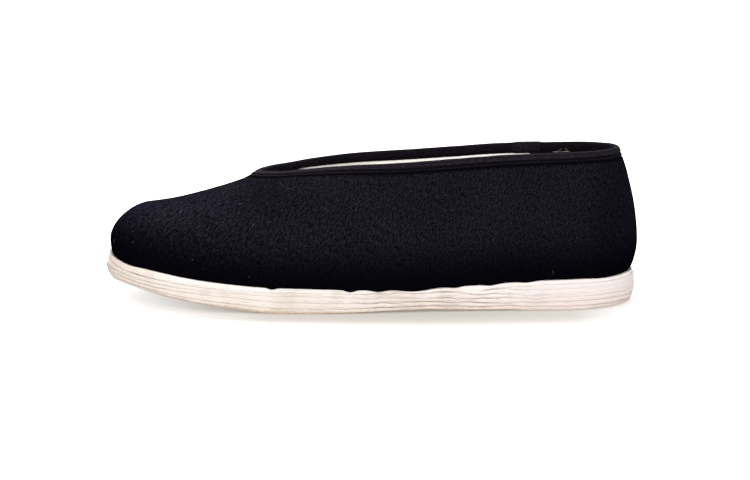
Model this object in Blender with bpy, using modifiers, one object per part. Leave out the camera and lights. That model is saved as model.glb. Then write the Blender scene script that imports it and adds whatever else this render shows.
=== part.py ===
"""A man's left Chinese cloth shoe: a black twill slip-on upper, a bound collar and a sole of stacked white cloth plies.

Lengths are in millimetres and become metres when a mesh is made. X runs from the toe (-) to the heel (+), Y from the
outer side of the foot (-) to the inner side (+), Z up. The origin is on the floor, under the middle of the shoe.
"""

import math
from collections import namedtuple

import bmesh
import bpy
from mathutils import Vector

MM = 0.001
COLLECTION = "chinese_cloth_shoe"

# Ends of the shoe, front to back
SOLE_TIP_X = -136.5
SOLE_BACK_X = 135.4
TOE_START_X = -72.0  # the round toe begins here
HEEL_START_X = 92.0  # the round heel turns about this point
TOE_ROUND = 2.25
HEEL_ROUND = 2.15

# The last's plan, a row for each station: centre line and half width of the sole
Plan = namedtuple("Plan", "x centre half")
PLAN = (
    Plan(-136.5, 5.0, 45.0),
    Plan(-100.0, 3.2, 46.0),
    Plan(-60.0, 0.6, 47.4),
    Plan(-35.0, -0.8, 47.6),
    Plan(0.0, -3.0, 44.0),
    Plan(35.0, -3.4, 38.8),
    Plan(62.0, -2.6, 36.8),
    Plan(92.0, -1.4, 36.6),
    Plan(136.5, -1.0, 36.6),
)

# Thickness of the whole sole, and the shares of its full plies' thickness that lie under the top of each lower ply
Sole = namedtuple("Sole", "x thickness ground second third fourth")
SOLE = (
    Sole(-136.5, 10.8, 0.13, 0.31, 0.48, 0.66),
    Sole(-109.0, 11.1, 0.13, 0.30, 0.47, 0.65),
    Sole(-68.0, 11.9, 0.23, 0.49, 0.65, 0.79),
    Sole(-48.0, 12.4, 0.22, 0.48, 0.69, 0.84),
    Sole(-30.0, 12.0, 0.22, 0.48, 0.72, 0.87),
    Sole(0.0, 11.0, 0.20, 0.45, 0.66, 0.85),
    Sole(18.0, 10.8, 0.19, 0.40, 0.62, 0.81),
    Sole(42.0, 11.6, 0.17, 0.37, 0.57, 0.78),
    Sole(76.0, 14.3, 0.20, 0.42, 0.63, 0.81),
    Sole(96.0, 15.1, 0.20, 0.43, 0.64, 0.81),
    Sole(115.0, 15.1, 0.20, 0.43, 0.64, 0.81),
    Sole(136.5, 15.0, 0.20, 0.43, 0.64, 0.81),
)
PLY_TOPS = ("ground", "second", "third", "fourth")

# The floor side of the sole: toe spring, a slight arch and a slight lift behind the heel's flat spot
TREAD_FRONT_X = -45.0
TOE_SPRING = 13.6
TOE_SPRING_CURVE = 1.42
ARCH_FROM_X = -17.0
ARCH_TO_X = 68.0
ARCH_RISE = 0.8
HEEL_FLAT_TO_X = 96.0
HEEL_RISE = 1.2

# Plies of the sole, bottom to top, and how far the edge of each lies inside the sole's outline
GAP = 0.3
PLY_INSETS = (0.8, 0.4, 0.1, 0.0, 0.6)
PLY_TIPS_IN = (0.9, 0.3, 0.0, 0.0, 1.1)  # each is this much further in at the toe's tip, and at the heel's back
PLY_BACKS_IN = (1.0, 0.3, 0.0, 0.0, 0.7)
PLY_EDGE_ROUND = 0.45
GROUND_EDGE_ROUND = 1.3
UNDER_HEEL_PLIES = 4  # the heel plies lie on this many full plies
HEEL_PLY_SLOT = 2.3
HEEL_PLY_RAMP = 36.0
HEEL_PLY_STARTS_X = (30.0, 50.0)
HEEL_PLY_THINNEST = 0.35
HEEL_PLY_INSET = 0.15

# The upper: its foot on the sole, its widest line and its crown, which behind the throat is the last's own ridge
BASE_TIP_X = -133.0
BASE_BACK_X = 132.4
BASE_WIDEN = -1.5
WIDEST_TIP_X = -134.1
WIDEST_BACK_X = 136.5
WIDEST_WIDEN = 0.8
Section = namedtuple("Section", "x widest crown fullness")
SECTIONS = (
    Section(-136.5, 32.0, 48.2, 2.35),
    Section(-115.0, 31.2, 49.0, 2.35),
    Section(-100.0, 30.5, 51.3, 2.30),
    Section(-87.5, 29.5, 54.5, 2.20),
    Section(-75.0, 29.0, 58.3, 2.10),
    Section(-66.0, 28.5, 61.5, 2.05),
    Section(-59.5, 28.0, 64.5, 2.00),
    Section(-35.0, 27.5, 75.0, 2.00),
    Section(-10.0, 27.5, 85.0, 2.00),
    Section(15.0, 28.5, 96.0, 2.00),
    Section(40.0, 30.0, 103.0, 2.00),
    Section(65.0, 32.0, 107.0, 2.00),
    Section(92.0, 33.0, 100.0, 2.00),
    Section(136.5, 32.0, 100.0, 2.00),
)
TOE_CAP_X = -115.0  # in front of this the crown turns down over the toe
TOE_CAP_ROUND = 1.68
BACK_LEAN = 9.4  # the back of the collar stands this far in front of the heel's widest line
BACK_LEAN_CURVE = 1.75

# Top line of the upper's wall, from the throat to the back
THROAT_X = -58.6
Collar = namedtuple("Collar", "x height")
COLLAR = (
    Collar(-58.6, 64.9),
    Collar(-47.0, 66.7),
    Collar(-35.0, 68.8),
    Collar(-10.0, 71.3),
    Collar(15.0, 72.5),
    Collar(40.0, 74.1),
    Collar(65.0, 75.8),
    Collar(92.0, 76.7),
    Collar(128.0, 77.7),
)
FAN_END_X = -20.0  # behind this the upper's ribs stand square to the shoe
FAN_CURVE = 1.5
WALL = 2.0
TUCK_FROM = math.radians(20)

# The binding: a tape folded over the collar's edge
TAPE = 0.7
TAPE_DEPTH = 4.1
STITCH_DEPTH = 2.4
TAPE_DEPTH_INSIDE = 3.6
STITCH_DEPTH_INSIDE = 2.5
TAPE_LIFT = 0.25  # the tape stands this much further out beside its stitching
LAP_FROM_X = 73.0  # its ends lap on the inner side of the foot, from here to LAP_TO_X
LAP_TO_X = 87.0
LAP_LIFT = 0.45

INSOLE = 2.0
INSOLE_CLEAR = 2.6

# Steps round the shoe: toe, waist and heel on each side, for the upper and for the plies
UPPER_STEPS = (10, 20, 8)
PLY_STEPS = (9, 12, 7)
TUCK_ROWS = 3
SIDE_ROWS = 10


def lookup(table, column, x):
    """The smooth value of a table's column at x, by cubic curves through its rows."""
    rows = [(row.x, getattr(row, column)) for row in table]
    if x <= rows[0][0]:
        return rows[0][1]
    if x >= rows[-1][0]:
        return rows[-1][1]
    i = max(k for k in range(len(rows) - 1) if rows[k][0] <= x)
    before, low, high, after = rows[max(i - 1, 0)], rows[i], rows[i + 1], rows[min(i + 2, len(rows) - 1)]
    span = high[0] - low[0]
    slope_low = (high[1] - before[1]) / (high[0] - before[0]) * span
    slope_high = (after[1] - low[1]) / (after[0] - low[0]) * span
    t = (x - low[0]) / span
    return (
        low[1] * (2 * t**3 - 3 * t**2 + 1)
        + slope_low * (t**3 - 2 * t**2 + t)
        + high[1] * (3 * t**2 - 2 * t**3)
        + slope_high * (t**3 - t**2)
    )


def ramp(x, start, end):
    """0 before start, 1 after end, smooth between them."""
    t = min(max((x - start) / (end - start), 0.0), 1.0)
    return t * t * (3 - 2 * t)


def rounded(share, power):
    """Height of a superellipse's arc, from 1 at share 0 to 0 at share 1."""
    return max(1 - min(max(share, 0.0), 1.0) ** power, 0.0) ** (1 / power)


# The sole's heights

def tread_height(x):
    """The underside of the sole above the floor."""
    if x < TREAD_FRONT_X:
        return TOE_SPRING * ((TREAD_FRONT_X - x) / (TREAD_FRONT_X - SOLE_TIP_X)) ** TOE_SPRING_CURVE
    if ARCH_FROM_X < x < ARCH_TO_X:
        return ARCH_RISE * math.sin(math.pi * (x - ARCH_FROM_X) / (ARCH_TO_X - ARCH_FROM_X)) ** 2
    if x > HEEL_FLAT_TO_X:
        return HEEL_RISE * ((x - HEEL_FLAT_TO_X) / (SOLE_BACK_X - HEEL_FLAT_TO_X)) ** 1.5
    return 0.0


def sole_top(x):
    return tread_height(x) + lookup(SOLE, "thickness", x)


def heel_slot(x, start):
    """Height that one heel ply and its gap take up at x."""
    return HEEL_PLY_SLOT * ramp(x, start, start + HEEL_PLY_RAMP)


def full_plies_height(x):
    """Thickness of all the full plies together, without their gaps."""
    slots = sum(heel_slot(x, start) for start in HEEL_PLY_STARTS_X)
    return lookup(SOLE, "thickness", x) - slots - len(PLY_TOPS) * GAP


def share_below(x, index):
    """Share of the full plies' thickness that lies under the ply of this index."""
    if index == 0:
        return 0.0
    return lookup(SOLE, PLY_TOPS[index - 1], x) if index <= len(PLY_TOPS) else 1.0


def full_ply_thickness(x, index):
    return full_plies_height(x) * (share_below(x, index + 1) - share_below(x, index))


def full_ply_bottom(x, index):
    z = tread_height(x) + full_plies_height(x) * share_below(x, index) + index * GAP
    if index >= UNDER_HEEL_PLIES:
        z += sum(heel_slot(x, start) for start in HEEL_PLY_STARTS_X)
    return z


def heel_ply_bottom(x, index):
    top_full_ply = UNDER_HEEL_PLIES - 1
    below = sum(heel_slot(x, start) for start in HEEL_PLY_STARTS_X[:index])
    return full_ply_bottom(x, top_full_ply) + full_ply_thickness(x, top_full_ply) + GAP + below


# Plan outlines

def stations(toe_steps, waist_steps, heel_steps):
    """Steps along one side, tip to back: (kind, value), an angle round the toe, an x, or an angle round the heel."""
    toe = [("toe", math.radians(90 * (1 - i / toe_steps))) for i in range(toe_steps)]
    length = HEEL_START_X - TOE_START_X
    waist = [("waist", TOE_START_X + length * i / waist_steps) for i in range(waist_steps)]
    heel = [("heel", math.radians(90 * (1 - i / heel_steps))) for i in range(heel_steps + 1)]
    return toe + waist + heel


def plan_point(station, side, tip, back, widen):
    """A point of the outline that runs from tip to back and is widen wider than the sole. side is -1 outer, 1 inner."""
    kind, value = station
    if kind == "toe":
        power = 2 / TOE_ROUND
        x = TOE_START_X - (TOE_START_X - tip) * math.sin(value) ** power
        half = (lookup(PLAN, "half", x) + widen) * max(math.cos(value), 0.0) ** power
    elif kind == "waist":
        x = value
        half = lookup(PLAN, "half", x) + widen
    else:
        length = back - HEEL_START_X
        width = lookup(PLAN, "half", HEEL_START_X) + widen
        radius = heel_radius(value, length, width)
        x = HEEL_START_X + radius * math.cos(value)
        half = radius * math.sin(value)
    return x, lookup(PLAN, "centre", x) + side * half


def heel_radius(angle, length, width):
    """Distance from the heel's centre to its outline, at an angle from straight back."""
    along = (math.cos(angle) / length) ** HEEL_ROUND
    across = (math.sin(angle) / width) ** HEEL_ROUND
    return (along + across) ** (-1 / HEEL_ROUND)


def ring(one_side, other_side):
    """A closed ring from two sides that share their first and last points."""
    return one_side + other_side[-2:0:-1]


# The upper's outer surface

def half_width(x):
    """Half width of the upper at its widest line, in front of the heel."""
    share = (TOE_START_X - x) / (TOE_START_X - WIDEST_TIP_X)
    return (lookup(PLAN, "half", x) + WIDEST_WIDEN) * rounded(share, TOE_ROUND)


def crown_rise(x):
    """Height of the last's ridge above the widest line."""
    rise = lookup(SECTIONS, "crown", x) - lookup(SECTIONS, "widest", x)
    return rise * rounded((TOE_CAP_X - x) / (TOE_CAP_X - WIDEST_TIP_X), TOE_CAP_ROUND)


def surface_height(x, y):
    """Height of the upper's outer surface above the point x, y, in front of the heel."""
    across = abs(y - lookup(PLAN, "centre", x)) / max(half_width(x), 1e-6)
    fullness = lookup(SECTIONS, "fullness", x)
    return lookup(SECTIONS, "widest", x) + crown_rise(x) * max(1 - min(across, 1.0) ** fullness, 0.0) ** 0.5


def half_width_at(x, height):
    """Half width of the upper at a height above its widest line, in front of the heel."""
    share = min((height - lookup(SECTIONS, "widest", x)) / crown_rise(x), 1.0)
    return half_width(x) * max(1 - share**2, 0.0) ** (1 / lookup(SECTIONS, "fullness", x))


def collar_point(x, side):
    height = lookup(COLLAR, "height", x)
    return Vector((x, lookup(PLAN, "centre", x) + side * half_width_at(x, height), height))


def collar_front(side, samples=160):
    """The collar's edge from the throat to FAN_END_X, with the distance along it."""
    edge = [collar_point(THROAT_X + (FAN_END_X - THROAT_X) * (i / samples) ** 2, side) for i in range(samples + 1)]
    return edge, distances(edge)


def distances(points):
    total = [0.0]
    for a, b in zip(points, points[1:]):
        total.append(total[-1] + (b - a).length)
    return total


def along(points, total, distance):
    """The point at a distance along a line."""
    i = max(k for k in range(len(total) - 1) if total[k] <= max(distance, 0.0))
    share = (distance - total[i]) / max(total[i + 1] - total[i], 1e-9)
    return points[i].lerp(points[i + 1], min(share, 1.0))


def front_rib(widest, edge, samples=48):
    """The surface's line over the straight plan path from the widest line to the collar's edge."""
    line = []
    for i in range(samples + 1):
        share = 1 - math.cos(math.pi / 2 * i / samples)
        spot = widest.lerp(edge, share)
        line.append(Vector((spot.x, spot.y, surface_height(spot.x, spot.y))))
    line[0], line[-1] = widest, edge
    return line


def heel_rib(angle, side, samples=24):
    """The surface's line up the heel at an angle from straight back."""
    line = []
    for i in range(samples + 1):
        share = i / samples
        low = lookup(SECTIONS, "widest", HEEL_START_X)
        high = lookup(COLLAR, "height", HEEL_START_X)
        width = half_width_at(HEEL_START_X, low + (high - low) * share)
        length = WIDEST_BACK_X - HEEL_START_X - BACK_LEAN * share**BACK_LEAN_CURVE
        radius = heel_radius(angle, length, width)
        x = HEEL_START_X + radius * math.cos(angle)
        foot = lookup(SECTIONS, "widest", x)
        top = lookup(COLLAR, "height", x)
        y = lookup(PLAN, "centre", x) + side * radius * math.sin(angle)
        line.append(Vector((x, y, foot + (top - foot) * share)))
    return line


def upper_ribs(side):
    """Lines of the upper's outer surface on one side, tip to back, each from the sole to the collar's edge."""
    steps = stations(*UPPER_STEPS)
    edge_front, edge_total = collar_front(side)
    widest = []
    for station in steps:
        x, y = plan_point(station, side, WIDEST_TIP_X, WIDEST_BACK_X, WIDEST_WIDEN)
        widest.append(Vector((x, y, lookup(SECTIONS, "widest", x))))
    fan_total = distances([p for p in widest if p.x < FAN_END_X])[-1]
    travelled = distances(widest)
    ribs = []
    for (kind, value), spot, gone in zip(steps, widest, travelled):
        if kind == "heel":
            upward = heel_rib(value, side)
        elif spot.x < FAN_END_X:
            share = min(gone / fan_total, 1.0) ** FAN_CURVE
            upward = front_rib(spot, along(edge_front, edge_total, edge_total[-1] * share))
        else:
            upward = front_rib(spot, collar_point(spot.x, side))
        ribs.append(tuck((kind, value), side, spot) + side_rows(upward))
    return ribs


def tuck(station, side, widest):
    """Rows from the upper's foot on the sole out to its widest line, a quarter of an ellipse."""
    x, y = plan_point(station, side, BASE_TIP_X, BASE_BACK_X, BASE_WIDEN)
    foot = Vector((x, y, sole_top(x) + GAP))
    rows = []
    start_out, start_up = math.sin(TUCK_FROM), 1 - math.cos(TUCK_FROM)
    for i in range(TUCK_ROWS):
        angle = TUCK_FROM + (math.pi / 2 - TUCK_FROM) * i / TUCK_ROWS
        out = (math.sin(angle) - start_out) / (1 - start_out)
        up = (1 - math.cos(angle) - start_up) / (1 - start_up)
        rows.append(Vector((
            foot.x + (widest.x - foot.x) * out,
            foot.y + (widest.y - foot.y) * out,
            foot.z + (widest.z - foot.z) * up,
        )))
    return rows


def side_rows(line):
    """Rows from the widest line to the collar's edge, the last but one at the foot of the binding."""
    total = distances(line)
    reach = total[-1] - TAPE_DEPTH
    rows = [along(line, total, reach * (i / SIDE_ROWS) ** 1.1) for i in range(SIDE_ROWS)]
    return rows + [along(line, total, reach), line[-1]]


# The collar's binding

def tape_rows(rib, across, lap):
    """Points of the tape's middle layer over one rib's edge, outer foot to inner foot. across is the way outwards."""
    edge, below = rib[-1], rib[-2]
    down = (below - edge).normalized()
    stand = GAP + TAPE / 2 + TAPE_LIFT + lap
    thick = WALL / 2
    centre = edge - across * thick
    out = thick + stand
    pinch = out - TAPE_LIFT
    rows = [centre + across * out + down * TAPE_DEPTH, centre + across * pinch + down * STITCH_DEPTH]
    rows.append(centre + across * out)
    for turn in (45, 90, 135):
        angle = math.radians(turn)
        rows.append(centre + across * (out * math.cos(angle)) - down * (out * math.sin(angle)))
    rows += [centre - across * out, centre - across * pinch + down * STITCH_DEPTH_INSIDE]
    rows.append(centre - across * out + down * TAPE_DEPTH_INSIDE)
    return rows


def outward(ribs, index):
    """The upper's outward direction at the collar's edge of one rib in the closed ring of ribs."""
    before, here, after = ribs[index - 1], ribs[index], ribs[(index + 1) % len(ribs)]
    round_the_collar = after[-1] - before[-1]
    upward = here[-1] - here[-2]
    return round_the_collar.cross(upward).normalized()


def lap_lift(spot):
    """Extra height of the tape where its ends lap on the inner side."""
    if spot.y < 0 or not LAP_FROM_X < spot.x < LAP_TO_X:
        return 0.0
    return LAP_LIFT * ramp(spot.x, LAP_FROM_X, LAP_FROM_X + 4)


# Meshes and objects

def mesh_object(name, mesh, material, collection):
    shape = bpy.data.meshes.new(name)
    bmesh.ops.scale(mesh, vec=(MM, MM, MM), verts=mesh.verts)
    bmesh.ops.recalc_face_normals(mesh, faces=mesh.faces)
    mesh.to_mesh(shape)
    mesh.free()
    shape.shade_smooth()
    shape.set_sharp_from_angle(angle=math.radians(40))
    shape.materials.append(material)
    made = bpy.data.objects.new(name, shape)
    collection.objects.link(made)
    return made


def loft(rings):
    """An open surface through rings that all have as many points."""
    mesh = bmesh.new()
    rows = [[mesh.verts.new(point) for point in points] for points in rings]
    for low, high in zip(rows, rows[1:]):
        for i in range(len(low)):
            j = (i + 1) % len(low)
            mesh.faces.new((low[i], low[j], high[j], high[i]))
    return mesh, rows


def cap(mesh, row, per_side):
    """Closes a ring with strips from side to side. The ring runs tip to back on one side and returns on the other."""
    count = len(row)
    for i in range(per_side - 1):
        corners = [row[i], row[i + 1], row[(count - i - 1) % count], row[(count - i) % count]]
        distinct = list(dict.fromkeys(corners))
        mesh.faces.new(distinct)


def plate(name, steps, profile, outline, material, collection):
    """A layer of the sole: profile rows are (inset, height function), outline(station, side, inset) gives x and y."""
    rings = []
    for inset, height in profile:
        sides = []
        for side in (-1, 1):
            spots = [outline(station, side, inset) for station in steps]
            sides.append([Vector((x, y, height(x))) for x, y in spots])
        rings.append(ring(*sides))
    mesh, rows = loft(rings)
    cap(mesh, rows[0], len(steps))
    cap(mesh, rows[-1], len(steps))
    return mesh_object(name, mesh, material, collection)


def edge_profile(inset, bottom, thickness, lower_round):
    """Rows of a ply's rounded edge, bottom to top."""
    shape = ((0.0, lower_round), (0.28, 0.1), (0.72, 0.0), (1.0, PLY_EDGE_ROUND))
    return [(inset + back, lambda x, share=share: bottom(x) + thickness(x) * share) for share, back in shape]


def sole_outline(station, side, inset, tip_in=0.0, back_in=0.0):
    return plan_point(station, side, SOLE_TIP_X + inset + tip_in, SOLE_BACK_X - inset - back_in, -inset)


def heel_ply_start(index):
    """Where a heel ply is first thick enough to cut."""
    start = HEEL_PLY_STARTS_X[index]
    x = start
    while heel_slot(x, start) < GAP + HEEL_PLY_THINNEST:
        x += 0.5
    return x


def make_full_ply(index, material, collection):
    lower_round = GROUND_EDGE_ROUND if index == 0 else PLY_EDGE_ROUND
    profile = edge_profile(
        PLY_INSETS[index],
        lambda x: full_ply_bottom(x, index),
        lambda x: full_ply_thickness(x, index),
        lower_round,
    )

    def outline(station, side, inset):
        return sole_outline(station, side, inset, PLY_TIPS_IN[index], PLY_BACKS_IN[index])

    return plate(f"sole_ply_{index + 1}", stations(*PLY_STEPS), profile, outline, material, collection)


def make_heel_ply(index, material, collection):
    """A wedge-ended ply under the top ply, from the waist to the back."""
    front = heel_ply_start(index)
    behind = [s for s in stations(*PLY_STEPS) if s[0] == "heel" or (s[0] == "waist" and s[1] > front + 4)]
    steps = [("waist", front)] + behind

    def thickness(x):
        return heel_slot(x, HEEL_PLY_STARTS_X[index]) - GAP

    profile = edge_profile(HEEL_PLY_INSET, lambda x: heel_ply_bottom(x, index), thickness, PLY_EDGE_ROUND)
    rings = []
    for inset, height in profile:
        sides = []
        for side in (-1, 1):
            spots = [sole_outline(station, side, inset) for station in steps]
            sides.append([Vector((x, y, height(x))) for x, y in spots])
        rings.append(sides[0] + sides[1][-2::-1])
    mesh, rows = loft(rings)
    for row in (rows[0], rows[-1]):
        count = len(row)
        for i in range(len(steps) - 1):
            corners = [row[i], row[i + 1], row[count - i - 2], row[count - i - 1]]
            mesh.faces.new(list(dict.fromkeys(corners)))
    return mesh_object(f"heel_ply_{index + 1}", mesh, material, collection)


def make_insole(material, collection):
    def outline(station, side, inset):
        tip, back = BASE_TIP_X + INSOLE_CLEAR + inset, BASE_BACK_X - INSOLE_CLEAR - inset
        return plan_point(station, side, tip, back, BASE_WIDEN - INSOLE_CLEAR - inset)

    def underside(x):
        return sole_top(x) + GAP

    profile = [(0.0, underside), (0.0, lambda x: underside(x) + 1.4), (0.6, lambda x: underside(x) + INSOLE)]
    return plate("insole", stations(*PLY_STEPS), profile, outline, material, collection)


def make_upper(ribs, material, collection):
    rings = [list(row) for row in zip(*ribs)]
    mesh, _ = loft(rings)
    upper = mesh_object("upper", mesh, material, collection)
    wall = upper.modifiers.new("wall", "SOLIDIFY")
    wall.thickness = WALL * MM
    wall.offset = -1
    wall.use_even_offset = True
    return upper


def make_binding(ribs, material, collection):
    lines = []
    for i, rib in enumerate(ribs):
        lines.append(tape_rows(rib, outward(ribs, i), lap_lift(rib[-1])))
    mesh, _ = loft([list(row) for row in zip(*lines)])
    binding = mesh_object("collar_binding", mesh, material, collection)
    tape = binding.modifiers.new("tape", "SOLIDIFY")
    tape.thickness = TAPE * MM
    tape.offset = 0
    tape.use_even_offset = True
    return binding


def cloth(name, colour, roughness):
    material = bpy.data.materials.new(name)
    material.use_nodes = True
    shader = material.node_tree.nodes["Principled BSDF"]
    shader.inputs["Base Color"].default_value = (*colour, 1)
    shader.inputs["Roughness"].default_value = roughness
    shader.inputs["Metallic"].default_value = 0
    return material


def clear_scene():
    for old in list(bpy.data.objects):
        bpy.data.objects.remove(old)


def main():
    clear_scene()
    collection = bpy.data.collections.new(COLLECTION)
    bpy.context.scene.collection.children.link(collection)
    twill = cloth("black_twill", (0.012, 0.012, 0.018), 0.9)
    tape = cloth("black_tape", (0.02, 0.018, 0.024), 0.8)
    ply = cloth("white_cotton", (0.84, 0.78, 0.72), 0.95)
    ground = cloth("tan_cotton", (0.72, 0.58, 0.42), 0.95)
    lining = cloth("lining_cotton", (0.86, 0.82, 0.77), 0.95)

    ribs = ring(upper_ribs(-1), upper_ribs(1))
    make_upper(ribs, twill, collection)
    make_binding(ribs, tape, collection)
    make_insole(lining, collection)
    for index in range(len(PLY_INSETS)):
        make_full_ply(index, ground if index == 0 else ply, collection)
    for index in range(len(HEEL_PLY_STARTS_X)):
        make_heel_ply(index, ply, collection)


main()
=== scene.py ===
"""The looks of a man's left Chinese cloth shoe: black twill, a folded tape round the mouth, stacked plies.

Lengths are in millimetres and become metres when a mesh is made. X runs from the toe (-) to the heel (+),
Y from the outer side of the foot (-) to the inner side (+), Z up. Forms come from the same sizes as the
solids, in finer steps.
"""

import math
from collections import namedtuple

import bmesh
import bpy
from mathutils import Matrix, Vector, noise
from mathutils.bvhtree import BVHTree


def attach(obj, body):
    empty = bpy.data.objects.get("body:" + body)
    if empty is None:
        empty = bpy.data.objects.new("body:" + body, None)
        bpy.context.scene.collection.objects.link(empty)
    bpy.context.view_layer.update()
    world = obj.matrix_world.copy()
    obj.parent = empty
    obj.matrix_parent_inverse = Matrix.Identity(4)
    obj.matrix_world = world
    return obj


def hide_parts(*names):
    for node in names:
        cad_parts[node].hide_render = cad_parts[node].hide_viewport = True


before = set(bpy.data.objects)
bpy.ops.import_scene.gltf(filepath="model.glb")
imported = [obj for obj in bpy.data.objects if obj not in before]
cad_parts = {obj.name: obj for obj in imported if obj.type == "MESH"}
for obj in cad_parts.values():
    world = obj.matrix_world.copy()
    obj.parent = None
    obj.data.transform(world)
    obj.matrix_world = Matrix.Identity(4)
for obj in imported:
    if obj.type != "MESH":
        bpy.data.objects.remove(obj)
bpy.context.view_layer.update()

MM = 0.001
OUTER, INNER = -1, 1  # the two sides of the foot

# The camera of the photograph
CAMERA_AIM = Vector((2.2, 0.0, 30.0))
CAMERA_DISTANCE = 1195.0
CAMERA_ELEVATION = 8.4
CAMERA_LENS = 111.6
SENSOR_WIDTH = 36.0

# Ends of the shoe, front to back
SOLE_TIP_X = -136.5
SOLE_BACK_X = 135.4
TOE_START_X = -72.0
HEEL_START_X = 92.0
TOE_ROUND = 2.25
HEEL_ROUND = 2.15

# The last's plan
Plan = namedtuple("Plan", "x centre half")
PLAN = (
    Plan(-136.5, 5.0, 45.0),
    Plan(-100.0, 3.2, 46.0),
    Plan(-60.0, 0.6, 47.4),
    Plan(-35.0, -0.8, 47.6),
    Plan(0.0, -3.0, 44.0),
    Plan(35.0, -3.4, 38.8),
    Plan(62.0, -2.6, 36.8),
    Plan(92.0, -1.4, 36.6),
    Plan(136.5, -1.0, 36.6),
)

# Thickness of the whole sole, and the shares of its full plies' thickness that lie under the top of each
# lower ply
Sole = namedtuple("Sole", "x thickness ground second third fourth")
SOLE = (
    Sole(-136.5, 10.8, 0.13, 0.31, 0.48, 0.66),
    Sole(-109.0, 11.1, 0.13, 0.30, 0.47, 0.65),
    Sole(-68.0, 11.9, 0.23, 0.49, 0.65, 0.79),
    Sole(-48.0, 12.4, 0.22, 0.48, 0.69, 0.84),
    Sole(-30.0, 12.0, 0.22, 0.48, 0.72, 0.87),
    Sole(0.0, 11.0, 0.20, 0.45, 0.66, 0.85),
    Sole(18.0, 10.8, 0.19, 0.40, 0.62, 0.81),
    Sole(42.0, 11.6, 0.17, 0.37, 0.57, 0.78),
    Sole(76.0, 14.3, 0.20, 0.42, 0.63, 0.81),
    Sole(96.0, 15.1, 0.20, 0.43, 0.64, 0.81),
    Sole(115.0, 15.1, 0.20, 0.43, 0.64, 0.81),
    Sole(136.5, 15.0, 0.20, 0.43, 0.64, 0.81),
)
PLY_TOPS = ("ground", "second", "third", "fourth")

# The floor side of the sole
TREAD_FRONT_X = -45.0
TOE_SPRING = 13.6
TOE_SPRING_CURVE = 1.42
ARCH_FROM_X = -17.0
ARCH_TO_X = 68.0
ARCH_RISE = 0.8
HEEL_FLAT_TO_X = 96.0
HEEL_RISE = 1.2

SEAT_GAP = 0.3
PLY_GAP = 0.06
PLY_INSETS = (0.8, 0.4, 0.1, 0.0, 0.6)
PLY_TIPS_IN = (0.9, 0.3, 0.0, 0.0, 1.1)  # each is this much further in at the toe's tip
PLY_BACKS_IN = (1.0, 0.3, 0.0, 0.0, 0.7)  # and this much at the heel's back
PLY_EDGE_ROUND = 0.45
GROUND_EDGE_ROUND = 1.2
UNDER_HEEL_PLIES = 4
HEEL_PLY_SLOT = 2.3
HEEL_PLY_RAMP = 36.0
HEEL_PLY_STARTS_X = (30.0, 50.0)
HEEL_PLY_THINNEST = 0.18
HEEL_PLY_INSET = 0.15
EDGE_ROWS = 9
LIP_HEIGHT = 0.3  # the top ply's rim stands up round the upper
LIP_INSET = 0.75
LIP_BACK = 1.35
Dip = namedtuple("Dip", "side x drop reach")
FOOT_DIPS = (  # where the upper's foot sinks into the top ply
    Dip(OUTER, -122.0, 0.8, 7.0),
    Dip(OUTER, -49.0, 0.9, 2.0),
    Dip(OUTER, -10.0, 1.0, 2.6),
    Dip(OUTER, 4.0, 0.9, 4.0),
    Dip(OUTER, 22.0, 1.4, 9.0),
    Dip(OUTER, 42.0, 0.6, 3.0),
    Dip(OUTER, 60.0, 0.6, 3.5),
    Dip(OUTER, 78.0, 0.7, 4.5),
    Dip(OUTER, 118.0, 0.6, 9.0),
    Dip(INNER, -95.0, 0.6, 6.0),
    Dip(INNER, -57.0, 0.7, 2.5),
    Dip(INNER, -18.0, 0.8, 3.0),
    Dip(INNER, 12.0, 0.8, 7.0),
    Dip(INNER, 52.0, 0.7, 4.0),
    Dip(INNER, 96.0, 0.6, 5.0),
)

# The upper
BASE_TIP_X = -133.0
BASE_BACK_X = 132.4
BASE_WIDEN = -1.5
WIDEST_TIP_X = -134.1
WIDEST_BACK_X = 136.5
WIDEST_WIDEN = 0.8
Section = namedtuple("Section", "x widest crown fullness")
SECTIONS = (
    Section(-136.5, 32.0, 48.2, 2.35),
    Section(-115.0, 31.2, 49.0, 2.35),
    Section(-100.0, 30.5, 51.3, 2.30),
    Section(-87.5, 29.5, 54.5, 2.20),
    Section(-75.0, 29.0, 58.3, 2.10),
    Section(-66.0, 28.5, 61.5, 2.05),
    Section(-59.5, 28.0, 64.5, 2.00),
    Section(-35.0, 27.5, 75.0, 2.00),
    Section(-10.0, 27.5, 85.0, 2.00),
    Section(15.0, 28.5, 96.0, 2.00),
    Section(40.0, 30.0, 103.0, 2.00),
    Section(65.0, 32.0, 107.0, 2.00),
    Section(92.0, 33.0, 100.0, 2.00),
    Section(136.5, 32.0, 100.0, 2.00),
)
TOE_CAP_X = -115.0
TOE_CAP_ROUND = 1.68
BACK_LEAN = 9.4
BACK_LEAN_CURVE = 1.75

THROAT_X = -58.6
THROAT_CURL = 1.0  # the cloth's edge stands up this much at the throat
THROAT_CURL_REACH = 2.6
Collar = namedtuple("Collar", "x height")
COLLAR = (
    Collar(-58.6, 64.9),
    Collar(-47.0, 66.7),
    Collar(-35.0, 68.8),
    Collar(-10.0, 71.3),
    Collar(15.0, 72.5),
    Collar(40.0, 74.1),
    Collar(65.0, 75.8),
    Collar(92.0, 76.7),
    Collar(128.0, 77.7),
)
FAN_END_X = -20.0
FAN_CURVE = 1.5
WALL = 2.0
TUCK_FROM = math.radians(20)

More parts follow.
